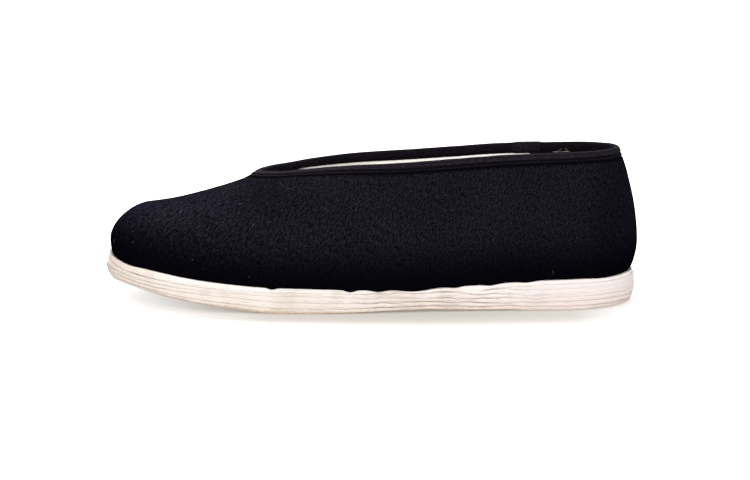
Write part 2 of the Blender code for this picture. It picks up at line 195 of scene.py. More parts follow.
# Soft troughs (depth > 0) and ridges (depth < 0) of the upper, from one point of a side view to another
Crease = namedtuple("Crease", "side x0 z0 x1 z1 width depth")
CREASES = (
    Crease(OUTER, -58.0, 60.0, -34.0, 63.0, 6.0, 0.55),
    Crease(INNER, -58.0, 60.0, -34.0, 63.0, 6.0, 0.55),
    Crease(OUTER, -57.0, 56.0, -84.0, 43.0, 6.0, 0.30),
    Crease(INNER, -60.0, 55.0, -82.0, 46.0, 6.0, 0.35),
    Crease(OUTER, -30.0, 44.0, -8.0, 36.0, 8.0, 0.28),
    Crease(INNER, -34.0, 46.0, -10.0, 38.0, 8.0, 0.35),
    Crease(OUTER, 8.0, 62.0, 26.0, 30.0, 11.0, 0.40),
    Crease(INNER, 6.0, 60.0, 22.0, 30.0, 10.0, 0.55),
    Crease(OUTER, 58.0, 66.0, 52.0, 40.0, 9.0, -0.25),
    Crease(INNER, 60.0, 66.0, 50.0, 40.0, 9.0, -0.30),
    Crease(OUTER, 100.0, 64.0, 126.0, 60.0, 7.0, 0.40),
    Crease(INNER, 100.0, 64.0, 126.0, 60.0, 7.0, 0.45),
    Crease(OUTER, 84.0, 30.0, 112.0, 27.0, 5.0, -0.25),
    Crease(INNER, 84.0, 30.0, 112.0, 27.0, 5.0, -0.30),
)
SLACK = 0.22  # the cloth's soft unevenness
SLACK_SIZE = 21.0
PUCKER = 0.16  # small gathers where the cloth is drawn under, round the toe and heel
PUCKER_PITCH = 5.2
PUCKER_REACH = 7.0
BACK_SEAM_FROM_X = 110.0  # the seam up the back of the heel
BACK_SEAM_DEPTH = 0.35
BACK_SEAM_WIDTH = 0.6
PaintedShade = namedtuple("PaintedShade", "x z reach_x reach_z strength")
PAINTED_SHADES = (  # painted shade: darker patches of the cloth at the throat, the heel and low at the toe, on both sides
    PaintedShade(-52.0, 57.0, 15.0, 9.0, 0.35),
    PaintedShade(120.0, 50.0, 13.0, 30.0, 0.40),
    PaintedShade(-128.0, 30.0, 18.0, 9.0, 0.35),
)
PAINTED_LOW_SHADE = (3.0, 30.0)  # painted shade: the cloth is darkest below the first height over the sole, plain above the second

# The folded tape round the mouth
TAPE = 0.66
TAPE_CLEAR = 0.08
TAPE_ROLL = 2.1  # height of the fold over the cloth's edge
TAPE_DEPTH = 3.7
STITCH_DEPTH = 2.0
TAPE_DEPTH_INSIDE = 3.4
STITCH_DEPTH_INSIDE = 2.3
TAPE_SINK = 0.6  # the upper is pressed in this much under the tape
LAP_FROM_X = 73.0
LAP_TO_X = 88.2
LAP_LIFT = 0.45
TAPE_WAVE = 0.12
TAPE_INNER_PAINTED_LIGHT = 0.22  # painted shade: the inner face and the fold's inner half are this much as pale as the outer face
STITCH_SPACING = 2.6
STITCH_LENGTH = 1.7
STITCH_THICKNESS = 0.28

# Lint and husks on the cloth and frayed threads at the mouth's back: place in a side view, length, turn,
# bend and thickness
Fibre = namedtuple("Fibre", "face x z length turn bend thick")
FACES = {"outer": (-200.0, 1), "inner": (200.0, -1), "mouth": (0.0, 1)}  # seen from that y, looking that way
FIBRE_SIDES = 5
LINT = (
    Fibre("outer", -95.3, 48.3, 1.5, 65, 0.2, 0.14),
    Fibre("outer", -58.2, 43.9, 2.0, 75, 0.3, 0.14),
    Fibre("outer", -45.9, 53.7, 1.2, 20, 0.2, 0.11),
    Fibre("outer", -7.2, 51.5, 1.6, 80, 0.2, 0.14),
    Fibre("outer", -119.3, 33.1, 1.2, 10, 0.1, 0.14),
    Fibre("outer", -130.4, 31.5, 1.3, 80, 0.3, 0.14),
    Fibre("outer", -119.5, 38.3, 0.9, 120, 0.1, 0.11),
    Fibre("outer", -88.5, 26.4, 1.3, 30, 0.2, 0.13),
    Fibre("outer", -83.1, 22.0, 1.0, 150, 0.1, 0.11),
    Fibre("outer", -60.1, 18.4, 1.0, 90, 0.1, 0.11),
    Fibre("outer", -41.7, 32.7, 1.1, 60, 0.2, 0.11),
    Fibre("outer", 90.9, 19.4, 1.8, 100, 0.3, 0.14),
    Fibre("outer", 33.0, 58.0, 1.0, 40, 0.1, 0.10),
    Fibre("outer", 61.0, 36.0, 1.1, 10, 0.2, 0.10),
    Fibre("outer", -41.5, 61.6, 8.5, -14, 1.6, 0.06),
    Fibre("inner", -102.0, 41.0, 1.4, 30, 0.2, 0.14),
    Fibre("inner", -71.0, 30.0, 1.8, 110, 0.3, 0.13),
    Fibre("inner", -28.0, 48.0, 1.1, 70, 0.2, 0.12),
    Fibre("inner", 6.0, 33.0, 1.5, 15, 0.2, 0.12),
    Fibre("inner", 44.0, 57.0, 1.2, 95, 0.1, 0.13),
    Fibre("inner", 92.0, 27.0, 1.7, 60, 0.3, 0.13),
)
HUSK = (
    Fibre("outer", -65.2, 52.9, 1.1, 30, 0.1, 0.3),
    Fibre("inner", 20.0, 42.0, 1.0, 80, 0.1, 0.25),
)
FRAYED = (
    Fibre("mouth", 98.4, 73.9, 2.6, 24, 0.4, 0.15),
    Fibre("mouth", 102.0, 74.2, 2.0, 130, 0.3, 0.12),
    Fibre("mouth", 99.4, 73.0, 9.0, 3, 0.1, 0.24),
)

# The insole, and the dark facings of the lining
INSOLE = 2.0
INSOLE_CLEAR = 2.6
THROAT_FACING_TO_X = (-38.0, -34.0)  # the lining is dark at the throat
FACING_FROM_X = 82.3
FACING = 0.35
FACING_CLEAR = 0.3  # it lies this far off the lining
FACING_UNDER_TAPE = 0.4
FACING_FOOT = 0.32  # share of the way up from the sole where it begins
FACING_ROWS = 24

# The white paper, glowing for the camera as if lit from below: the glow is weaker and warmer under the shoe,
# a painted shadow, and stronger past the toe and the heel, painted light that pales that shadow
FLOOR_SIZE = 30  # metres
FLOOR_BELOW = 0.0002  # metres under the sole, which stands clear of it
FLOOR_PAPER = (0.35, 0.345, 0.335, 1)
FLOOR_GLOW_AND_PAINTED_SHADOW = (0.33, 1.0)  # painted shadow under the shoe, and the even glow away from it
PAINTED_SHADOW_REACH = (0.10, 0.28)  # metres over which the painted shadow fades out
PAINTED_LIGHT_PAST_ENDS = ((-0.05, -0.13), (0.10, 0.15))  # metres along X, past the toe and past the heel, where painted light pales the painted shadow
PAINTED_LIGHT_PAST_ENDS_AMOUNT = 0.5  # painted light: it is this much brighter there

# The studio's lights, in metres and watts
Box = namedtuple("Box", "name size power place target")
LIGHTS = (
    Box("top_box", (0.9, 0.45), 35, (-0.05, 0.68, 1.15), (0, 0, 0.03)),
    Box("front_box", (1.4, 0.8), 24.5, (-0.3, -1.5, 0.7), (0, 0, 0.03)),
    Box("side_box", (0.8, 0.8), 5, (1.3, -0.5, 0.5), (0.1, 0, 0.03)),
)
WALLS_LIGHT = 0.6  # strength of the even white light from all round

# How fine the meshes are: steps round the toe, along the waist and round the heel, and rows up the cloth
UPPER_STEPS = (44, 74, 34)
TUCK_ROWS = 8
SIDE_ROWS = 52
PLY_STEPS = (46, 96, 36)


def lookup(table, column, x):
    """The smooth value of a table's column at x, by cubic curves through its rows."""
    rows = [(row.x, getattr(row, column)) for row in table]
    if x <= rows[0][0]:
        return rows[0][1]
    if x >= rows[-1][0]:
        return rows[-1][1]
    i = max(k for k in range(len(rows) - 1) if rows[k][0] <= x)
    before, low, high, after = rows[max(i - 1, 0)], rows[i], rows[i + 1], rows[min(i + 2, len(rows) - 1)]
    span = high[0] - low[0]
    slope_low = (high[1] - before[1]) / (high[0] - before[0]) * span
    slope_high = (after[1] - low[1]) / (after[0] - low[0]) * span
    t = (x - low[0]) / span
    return (
        low[1] * (2 * t**3 - 3 * t**2 + 1)
        + slope_low * (t**3 - 2 * t**2 + t)
        + high[1] * (3 * t**2 - 2 * t**3)
        + slope_high * (t**3 - t**2)
    )


def ramp(x, start, end):
    """0 before start, 1 after end, smooth between them."""
    t = min(max((x - start) / (end - start), 0.0), 1.0)
    return t * t * (3 - 2 * t)


def rounded(share, power):
    """Height of a superellipse's arc, from 1 at share 0 to 0 at share 1."""
    return max(1 - min(max(share, 0.0), 1.0) ** power, 0.0) ** (1 / power)


def waver(x, y, z, size, seed=0.0):
    """Smooth noise from -1 to 1 with features of about that size."""
    return noise.noise(Vector((x / size + seed * 17.3, y / size - seed * 5.1, z / size + seed * 9.7)))


# The sole's heights

def tread_height(x):
    """The underside of the sole above the floor."""
    if x < TREAD_FRONT_X:
        return TOE_SPRING * ((TREAD_FRONT_X - x) / (TREAD_FRONT_X - SOLE_TIP_X)) ** TOE_SPRING_CURVE
    if ARCH_FROM_X < x < ARCH_TO_X:
        return ARCH_RISE * math.sin(math.pi * (x - ARCH_FROM_X) / (ARCH_TO_X - ARCH_FROM_X)) ** 2
    if x > HEEL_FLAT_TO_X:
        return HEEL_RISE * ((x - HEEL_FLAT_TO_X) / (SOLE_BACK_X - HEEL_FLAT_TO_X)) ** 1.5
    return 0.0


def sole_top(x):
    return tread_height(x) + lookup(SOLE, "thickness", x)


def heel_slot(x, start):
    """Height that one heel ply and its gap take up at x."""
    return HEEL_PLY_SLOT * ramp(x, start, start + HEEL_PLY_RAMP)


def full_plies_height(x):
    """Thickness of all the full plies together, without their gaps."""
    slots = sum(heel_slot(x, start) for start in HEEL_PLY_STARTS_X)
    return lookup(SOLE, "thickness", x) - slots - len(PLY_TOPS) * PLY_GAP


def share_below(x, index):
    """Share of the full plies' thickness that lies under the ply of this index."""
    if index == 0:
        return 0.0
    return lookup(SOLE, PLY_TOPS[index - 1], x) if index <= len(PLY_TOPS) else 1.0


def full_ply_thickness(x, index):
    return full_plies_height(x) * (share_below(x, index + 1) - share_below(x, index))


def full_ply_bottom(x, index):
    z = tread_height(x) + full_plies_height(x) * share_below(x, index) + index * PLY_GAP
    if index >= UNDER_HEEL_PLIES:
        z += sum(heel_slot(x, start) for start in HEEL_PLY_STARTS_X)
    return z


def heel_ply_bottom(x, index):
    top_full_ply = UNDER_HEEL_PLIES - 1
    below = sum(heel_slot(x, start) for start in HEEL_PLY_STARTS_X[:index])
    return full_ply_bottom(x, top_full_ply) + full_ply_thickness(x, top_full_ply) + PLY_GAP + below


# Plan outlines

def stations(toe_steps, waist_steps, heel_steps):
    """Steps along one side, tip to back, as (kind, value): angles round the toe, then x, then angles round
    the heel."""
    toe = [("toe", math.radians(90 * (1 - i / toe_steps))) for i in range(toe_steps)]
    length = HEEL_START_X - TOE_START_X
    waist = [("waist", TOE_START_X + length * i / waist_steps) for i in range(waist_steps)]
    heel = [("heel", math.radians(90 * (1 - i / heel_steps) ** 1.3)) for i in range(heel_steps + 1)]
    return toe + waist + heel


def plan_point(station, side, tip, back, widen):
    """A point of the outline that runs from tip to back and is widen wider than the sole."""
    kind, value = station
    if kind == "toe":
        power = 2 / TOE_ROUND
        x = TOE_START_X - (TOE_START_X - tip) * math.sin(value) ** power
        half = (lookup(PLAN, "half", x) + widen) * max(math.cos(value), 0.0) ** power
    elif kind == "waist":
        x = value
        half = lookup(PLAN, "half", x) + widen
    else:
        length = back - HEEL_START_X
        width = lookup(PLAN, "half", HEEL_START_X) + widen
        radius = heel_radius(value, length, width)
        x = HEEL_START_X + radius * math.cos(value)
        half = radius * math.sin(value)
    return x, lookup(PLAN, "centre", x) + side * half


def heel_radius(angle, length, width):
    """Distance from the heel's centre to its outline, at an angle from straight back."""
    along_shoe = (math.cos(angle) / length) ** HEEL_ROUND
    across = (max(math.sin(angle), 0.0) / width) ** HEEL_ROUND
    return (along_shoe + across) ** (-1 / HEEL_ROUND)


def ring(one_side, other_side):
    """A closed ring from two sides that share their first and last points."""
    return one_side + other_side[-2:0:-1]


def foot_drop(side, x):
    near = [dip for dip in FOOT_DIPS if dip.side == side]
    return sum(dip.drop * math.exp(-(((x - dip.x) / dip.reach) ** 2)) for dip in near)


# The upper's outer surface

def half_width(x):
    """Half width of the upper at its widest line, in front of the heel."""
    share = (TOE_START_X - x) / (TOE_START_X - WIDEST_TIP_X)
    return (lookup(PLAN, "half", x) + WIDEST_WIDEN) * rounded(share, TOE_ROUND)


def crown_rise(x):
    """Height of the last's ridge above the widest line."""
    rise = lookup(SECTIONS, "crown", x) - lookup(SECTIONS, "widest", x)
    return rise * rounded((TOE_CAP_X - x) / (TOE_CAP_X - WIDEST_TIP_X), TOE_CAP_ROUND)


def surface_height(x, y):
    """Height of the upper's outer surface above the point x, y, in front of the heel."""
    across = abs(y - lookup(PLAN, "centre", x)) / max(half_width(x), 1e-6)
    fullness = lookup(SECTIONS, "fullness", x)
    return lookup(SECTIONS, "widest", x) + crown_rise(x) * max(1 - min(across, 1.0) ** fullness, 0.0) ** 0.5


def half_width_at(x, height):
    """Half width of the upper at a height above its widest line, in front of the heel."""
    share = min((height - lookup(SECTIONS, "widest", x)) / crown_rise(x), 1.0)
    return half_width(x) * max(1 - share**2, 0.0) ** (1 / lookup(SECTIONS, "fullness", x))


def collar_point(x, side):
    height = lookup(COLLAR, "height", x)
    return Vector((x, lookup(PLAN, "centre", x) + side * half_width_at(x, height), height))


def collar_front(side, samples=160):
    """The collar's edge from the throat to FAN_END_X, with the distance along it."""
    reach = FAN_END_X - THROAT_X
    edge = [collar_point(THROAT_X + reach * (i / samples) ** 2, side) for i in range(samples + 1)]
    return edge, distances(edge)


def distances(points):
    total = [0.0]
    for a, b in zip(points, points[1:]):
        total.append(total[-1] + (b - a).length)
    return total


def along(points, total, distance):
    """The point at a distance along a line."""
    i = max(k for k in range(len(total) - 1) if total[k] <= max(distance, 0.0))
    share = (distance - total[i]) / max(total[i + 1] - total[i], 1e-9)
    return points[i].lerp(points[i + 1], min(share, 1.0))


def front_rib(widest, edge, samples=48):
    """The surface's line over the straight plan path from the widest line to the collar's edge."""
    line = []
    for i in range(samples + 1):
        share = 1 - math.cos(math.pi / 2 * i / samples)
        spot = widest.lerp(edge, share)
        line.append(Vector((spot.x, spot.y, surface_height(spot.x, spot.y))))
    line[0], line[-1] = widest, edge.copy()
    total = distances(line)
    curl = THROAT_CURL * (1 - ramp(edge.x, THROAT_X + 2, THROAT_X + 22))
    for spot, gone in zip(line, total):
        spot.z += curl * math.exp(-(((total[-1] - gone) / THROAT_CURL_REACH) ** 2))
    return line


def heel_rib(angle, side, samples=24):
    """The surface's line up the heel at an angle from straight back."""
    line = []
    for i in range(samples + 1):
        share = i / samples
        low = lookup(SECTIONS, "widest", HEEL_START_X)
        high = lookup(COLLAR, "height", HEEL_START_X)
        width = half_width_at(HEEL_START_X, low + (high - low) * share)
        length = WIDEST_BACK_X - HEEL_START_X - BACK_LEAN * share**BACK_LEAN_CURVE
        radius = heel_radius(angle, length, width)
        x = HEEL_START_X + radius * math.cos(angle)
        y = lookup(PLAN, "centre", x) + side * radius * math.sin(angle)
        foot = lookup(SECTIONS, "widest", x)
        top = lookup(COLLAR, "height", x)
        line.append(Vector((x, y, foot + (top - foot) * share)))
    return line


def tuck(station, side, widest):
    """Rows from the upper's foot on the sole out to its widest line, a quarter of an ellipse."""
    x, y = plan_point(station, side, BASE_TIP_X, BASE_BACK_X, BASE_WIDEN)
    foot = Vector((x, y, sole_top(x) + SEAT_GAP - foot_drop(side, x)))
    rows = []
    start_out, start_up = math.sin(TUCK_FROM), 1 - math.cos(TUCK_FROM)
    for i in range(TUCK_ROWS):
        angle = TUCK_FROM + (math.pi / 2 - TUCK_FROM) * i / TUCK_ROWS
        out = (math.sin(angle) - start_out) / (1 - start_out)
        up = (1 - math.cos(angle) - start_up) / (1 - start_up)
        rows.append(Vector((
            foot.x + (widest.x - foot.x) * out,
            foot.y + (widest.y - foot.y) * out,
            foot.z + (widest.z - foot.z) * up,
        )))
    return rows


def side_rows(line):
    """Rows from the widest line to the collar's edge."""
    total = distances(line)
    return [along(line, total, total[-1] * (i / SIDE_ROWS) ** 1.05) for i in range(SIDE_ROWS + 1)]


def upper_ribs(side, steps):
    """Lines of the upper's outer surface on one side, tip to back, each from the sole to the edge."""
    edge_front, edge_total = collar_front(side)
    widest = []
    for station in steps:
        x, y = plan_point(station, side, WIDEST_TIP_X, WIDEST_BACK_X, WIDEST_WIDEN)
        widest.append(Vector((x, y, lookup(SECTIONS, "widest", x))))
    fan_total = distances([p for p in widest if p.x < FAN_END_X])[-1]
    travelled = distances(widest)
    ribs = []
    for (kind, value), spot, gone in zip(steps, widest, travelled):
        if kind == "heel":
            upward = heel_rib(value, side)
        elif spot.x < FAN_END_X:
            share = min(gone / fan_total, 1.0) ** FAN_CURVE
            upward = front_rib(spot, along(edge_front, edge_total, edge_total[-1] * share))
        else:
            upward = front_rib(spot, collar_point(spot.x, side))
        ribs.append(tuck((kind, value), side, spot) + side_rows(upward))
    return ribs


# Creases and unevenness of the upper, and its painted shade

def crease_depth(crease, spot):
    """How far a crease pushes the cloth in at a point of its side."""
    start = Vector((crease.x0, crease.z0))
    path = Vector((crease.x1, crease.z1)) - start
    place = Vector((spot.x, spot.z)) - start
    share = min(max(place.dot(path) / path.length_squared, 0.0), 1.0)
    away = (place - path * share).length
    return crease.depth * math.exp(-((away / crease.width) ** 2))


def upper_relief(spot, to_edge):
    """Distance that the cloth lies outside its last's surface at a point, to_edge away from the edge."""
    centre = lookup(PLAN, "centre", spot.x)
    side_share = ramp(abs(spot.y - centre), 2.0, 14.0)
    side = OUTER if spot.y < centre else INNER
    above_sole = spot.z - sole_top(spot.x)
    relief = SLACK * waver(spot.x, spot.y, spot.z, SLACK_SIZE, 1)
    relief += SLACK * 0.4 * waver(spot.x, spot.y, spot.z, SLACK_SIZE / 3, 2)
    relief -= side_share * sum(crease_depth(c, spot) for c in CREASES if c.side == side)
    around = math.atan2(spot.y - centre, spot.x)
    gathers = ramp(-spot.x, 60.0, 105.0) + ramp(spot.x, 95.0, 118.0)
    turn = math.hypot(spot.x * 0.35, spot.y - centre) * around / PUCKER_PITCH * 2 * math.pi
    relief += PUCKER * gathers * math.exp(-above_sole / PUCKER_REACH) * math.sin(turn)
    if spot.x > BACK_SEAM_FROM_X:
        off_centre = abs(spot.y - centre)
        relief -= BACK_SEAM_DEPTH * math.exp(-((off_centre / BACK_SEAM_WIDTH) ** 2))
        relief += 0.3 * BACK_SEAM_DEPTH * math.exp(-(((off_centre - 2.2) / 1.2) ** 2))
    relief *= ramp(above_sole, 0.3, 3.0) * ramp(to_edge, TAPE_DEPTH, TAPE_DEPTH + 8)
    return relief - TAPE_SINK * (1 - ramp(to_edge, TAPE_DEPTH - 0.6, TAPE_DEPTH + 1.0))


def painted_cloth_shade(spot, to_edge):
    """How much painted shade darkens the upper's cloth at a point that far from the collar's edge, 0 to 1:
    low on its sides, in a painted shadow just below the tape, and in the patches.
    """
    # Painted shade low on the sides, where they turn under to the sole.
    plain = 1 - 0.9 * (1 - ramp(spot.z - sole_top(spot.x), *PAINTED_LOW_SHADE))
    # A painted shadow of the tape on the cloth just below it.
    plain *= 1 - 0.9 * (1 - ramp(to_edge, TAPE_DEPTH + 0.4, TAPE_DEPTH + 2.0))
    # The patches of painted shade.
    for patch in PAINTED_SHADES:
        away = ((spot.x - patch.x) / patch.reach_x) ** 2 + ((spot.z - patch.z) / patch.reach_z) ** 2
        plain *= 1 - patch.strength * math.exp(-away)
    return 1 - plain


# Meshes and objects

def scene_object(name, mesh, materials, smooth_angle=50):
    shape = bpy.data.meshes.new(name)
    bmesh.ops.scale(mesh, vec=(MM, MM, MM), verts=mesh.verts)
    mesh.to_mesh(shape)
    mesh.free()
    shape.shade_smooth()
    shape.set_sharp_from_angle(angle=math.radians(smooth_angle))
    for material in materials:
        shape.materials.append(material)
    made = bpy.data.objects.new(name, shape)
    bpy.context.scene.collection.objects.link(made)
    return made


def dress(piece, slot, *nodes):
    """Puts a finished piece on the shoe, in place of those solids."""
    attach(piece, "root")
    if nodes:
        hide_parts(*nodes)


def apply_modifiers(piece):
    """Turns a piece's modifiers into plain mesh."""
    graph = bpy.context.evaluated_depsgraph_get()
    shape = bpy.data.meshes.new_from_object(piece.evaluated_get(graph))
    piece.modifiers.clear()
    piece.data = shape


def loft(rings, closed_rows=False, shares=None):
    """A surface through rings of as many points each. closed_rows joins the last ring to the first, and
    shares is one number for each ring that its points keep as the attribute row_share."""
    mesh = bmesh.new()
    kept = mesh.verts.layers.float.new("row_share") if shares else None
    rows = [[mesh.verts.new(point) for point in points] for points in rings]
    for row, share in zip(rows, shares or ()):
        for v in row:
            v[kept] = share
    pairs = list(zip(rows, rows[1:]))
    if closed_rows:
        pairs.append((rows[-1], rows[0]))
    for low, high in pairs:
        for i in range(len(low)):
            j = (i + 1) % len(low)
            mesh.faces.new((low[i], low[j], high[j], high[i]))
    return mesh, rows


def cap(mesh, row, per_side):
    """Closes a ring with strips from side to side. It runs tip to back on one side, back on the other."""
    count = len(row)
    for i in range(per_side - 1):
        corners = [row[i], row[i + 1], row[(count - i - 1) % count], row[(count - i) % count]]
        mesh.faces.new(list(dict.fromkeys(corners)))


# Shader parts

def node_group(name, inputs, outputs):
    """An empty shader group: inputs are (name, type, value), outputs (name, type)."""
    group = bpy.data.node_groups.new(name, "ShaderNodeTree")
    for label, kind, value in inputs:
        socket = group.interface.new_socket(name=label, in_out="INPUT", socket_type=kind)
        if value is not None:
            socket.default_value = value
    for label, kind in outputs:
        group.interface.new_socket(name=label, in_out="OUTPUT", socket_type=kind)
    return group, group.nodes.new("NodeGroupInput"), group.nodes.new("NodeGroupOutput")


def math_node(tree, operation, a, b=None, clamp=False):
    """A Math node; a and b are sockets or numbers."""
    node = tree.nodes.new("ShaderNodeMath")
    node.operation = operation
    node.use_clamp = clamp
    for socket, value in zip(node.inputs, (a, b)):
        if isinstance(value, (int, float)):
            socket.default_value = value
        elif value is not None:
            tree.links.new(value, socket)
    return node.outputs[0]


def split_node(tree, vector):
    """X, Y and Z of a vector."""
    node = tree.nodes.new("ShaderNodeSeparateXYZ")
    tree.links.new(vector, node.inputs[0])
    return tuple(node.outputs)


def attribute_node(tree, name):
    node = tree.nodes.new("ShaderNodeAttribute")
    node.attribute_name = name
    return node.outputs["Fac"]


def noise_node(tree, vector, scale, detail=2.0, roughness=0.5):
    node = tree.nodes.new("ShaderNodeTexNoise")
    node.inputs["Detail"].default_value = detail
    node.inputs["Roughness"].default_value = roughness
    tree.links.new(vector, node.inputs["Vector"])
    node.inputs["Scale"].default_value = scale
    return node.outputs["Fac"]


def stretch_node(tree, vector, size, turn=0.0):
    """Coordinates for a pattern whose features have that size along axes turned about Z."""
    node = tree.nodes.new("ShaderNodeMapping")
    node.vector_type = "TEXTURE"
    node.inputs["Scale"].default_value = size
    node.inputs["Rotation"].default_value = (0, 0, turn)
    tree.links.new(vector, node.inputs["Vector"])
    return node.outputs["Vector"]


def blend_node(tree, share, first, second):
    """A colour between two colours or sockets."""
    node = tree.nodes.new("ShaderNodeMix")
    node.data_type = "RGBA"
    for socket, value in ((node.inputs[0], share), (node.inputs[6], first), (node.inputs[7], second)):
        if isinstance(value, tuple):
            socket.default_value = (*value, 1)
        elif isinstance(value, (int, float)):
            socket.default_value = value
        else:
            tree.links.new(value, socket)
    return node.outputs[2]


def range_node(tree, value, low, high, to_low=0.0, to_high=1.0):
    node = tree.nodes.new("ShaderNodeMapRange")
    tree.links.new(value, node.inputs["Value"])
    for label, number in (("From Min", low), ("From Max", high), ("To Min", to_low), ("To Max", to_high)):
        node.inputs[label].default_value = number
    return node.outputs["Result"]


def twill_group():
    """Diagonal ribs with the threads that cross them, on coordinates in millimetres."""
    group, start, end = node_group(
        "twill_weave",
        [
            ("Vector", "NodeSocketVector", None),
            ("Rib", "NodeSocketFloat", 0.9),
            ("Thread", "NodeSocketFloat", 0.5),
        ],
        [("Height", "NodeSocketFloat"), ("Grain", "NodeSocketFloat")],
    )
    u, v, _ = split_node(group, start.outputs["Vector"])
    wander = noise_node(group, start.outputs["Vector"], 0.35, 2.0)
    wander = math_node(group, "MULTIPLY", math_node(group, "SUBTRACT", wander, 0.5), 1.1)
    slant = math_node(group, "SUBTRACT", math_node(group, "MULTIPLY", u, 0.82), v)
    across = math_node(group, "ADD", slant, wander)
    ribs = wave(group, across, start.outputs["Rib"])
    threads = wave(group, math_node(group, "ADD", u, v), start.outputs["Thread"])
    beads = math_node(group, "ADD", 0.55, math_node(group, "MULTIPLY", threads, 0.45))
    height = math_node(group, "MULTIPLY", ribs, beads)
    group.links.new(height, end.inputs["Height"])
    streaks = stretch_node(group, start.outputs["Vector"], (2.3, 0.75, 1.0), math.radians(58))
    coarse = math_node(group, "MULTIPLY", noise_node(group, streaks, 1.0, 2.0, 0.6), 0.45)
    fine = math_node(group, "MULTIPLY", noise_node(group, start.outputs["Vector"], 1.45, 2.0, 0.7), 0.55)
    group.links.new(math_node(group, "ADD", coarse, fine), end.inputs["Grain"])
    return group


def wave(tree, value, pitch):
    """A sine wave from 0 to 1 of that pitch."""
    turns = math_node(tree, "MULTIPLY", math_node(tree, "DIVIDE", value, pitch), 2 * math.pi)
    return math_node(tree, "ADD", 0.5, math_node(tree, "MULTIPLY", math_node(tree, "SINE", turns), 0.5))


def cotton_group():
    """Plain-woven cotton on coordinates in millimetres: threads over and under, and their loose fibres."""
    group, start, end = node_group(
        "cotton_weave",
        [("Vector", "NodeSocketVector", None), ("Thread", "NodeSocketFloat", 0.8)],
        [("Height", "NodeSocketFloat"), ("Grain", "NodeSocketFloat")],
    )
    x, y, _ = split_node(group, start.outputs["Vector"])
    warp = wave(group, x, start.outputs["Thread"])
    weft = wave(group, y, start.outputs["Thread"])
    woven = math_node(group, "MULTIPLY", warp, weft)
    fibres = noise_node(group, start.outputs["Vector"], 1.7, 4.0, 0.7)
    height = math_node(group, "ADD", math_node(group, "MULTIPLY", woven, 0.5), fibres)
    group.links.new(height, end.inputs["Height"])
    group.links.new(fibres, end.inputs["Grain"])
    return group


def place_group(tree, group, vector, **values):
    node = tree.nodes.new("ShaderNodeGroup")
    node.node_tree = group
    tree.links.new(vector, node.inputs["Vector"])
    for label, value in values.items():
        node.inputs[label].default_value = value
    return node


def cloth_material(name, roughness, specular, sheen=0.0):
    material = bpy.data.materials.new(name)
    material.use_nodes = True
    shader = material.node_tree.nodes["Principled BSDF"]
    shader.inputs["Roughness"].default_value = roughness
    shader.inputs["Specular IOR Level"].default_value = specular
    shader.inputs["Sheen Weight"].default_value = sheen
    shader.inputs["Sheen Roughness"].default_value = 0.45
    return material, material.node_tree, shader


def millimetres(tree, source="UV"):
    """Coordinates in millimetres, from the UV map in tenths of a metre or from the object in metres."""
    coordinates = tree.nodes.new("ShaderNodeTexCoord")
    unit = 0.01 if source == "UV" else 0.001
    return stretch_node(tree, coordinates.outputs[source], (unit, unit, unit))


def bump(tree, shader, height, distance):
    node = tree.nodes.new("ShaderNodeBump")
    node.inputs["Strength"].default_value = 1.0
    node.inputs["Distance"].default_value = distance * MM
    tree.links.new(height, node.inputs["Height"])
    tree.links.new(node.outputs["Normal"], shader.inputs["Normal"])


# Materials

def black_twill(weave):
    material, tree, shader = cloth_material("black_twill", 0.8, 0.0)
    cloth = place_group(tree, weave, millimetres(tree), Rib=0.95, Thread=0.55)
    where = millimetres(tree, "Object")
    # Painted shade from the upper's points: low on its sides, just below the tape and in a few patches.
    dark = attribute_node(tree, "shade")
    patches = range_node(tree, noise_node(tree, where, 0.03, 3.0), 0.35, 0.65)
    lit = range_node(tree, cloth.outputs["Grain"], 0.445, 0.585)
    ribs = math_node(tree, "MULTIPLY", cloth.outputs["Height"], 0.25)
    share = math_node(tree, "ADD", math_node(tree, "MULTIPLY", lit, 0.85), ribs, clamp=True)
    thread = blend_node(tree, patches, (0.0133, 0.0124, 0.0194), (0.0164, 0.0153, 0.0213))
    colour = blend_node(tree, share, (0.0010, 0.0009, 0.0022), thread)
    # The painted shade darkens the cloth towards near black.
    colour = blend_node(tree, dark, colour, (0.0010, 0.0009, 0.0020))
    tree.links.new(colour, shader.inputs["Base Color"])
    fuzz = math_node(tree, "MULTIPLY", cloth.outputs["Grain"], 1.2)
    bump(tree, shader, math_node(tree, "ADD", cloth.outputs["Height"], fuzz), 0.11)
    return material


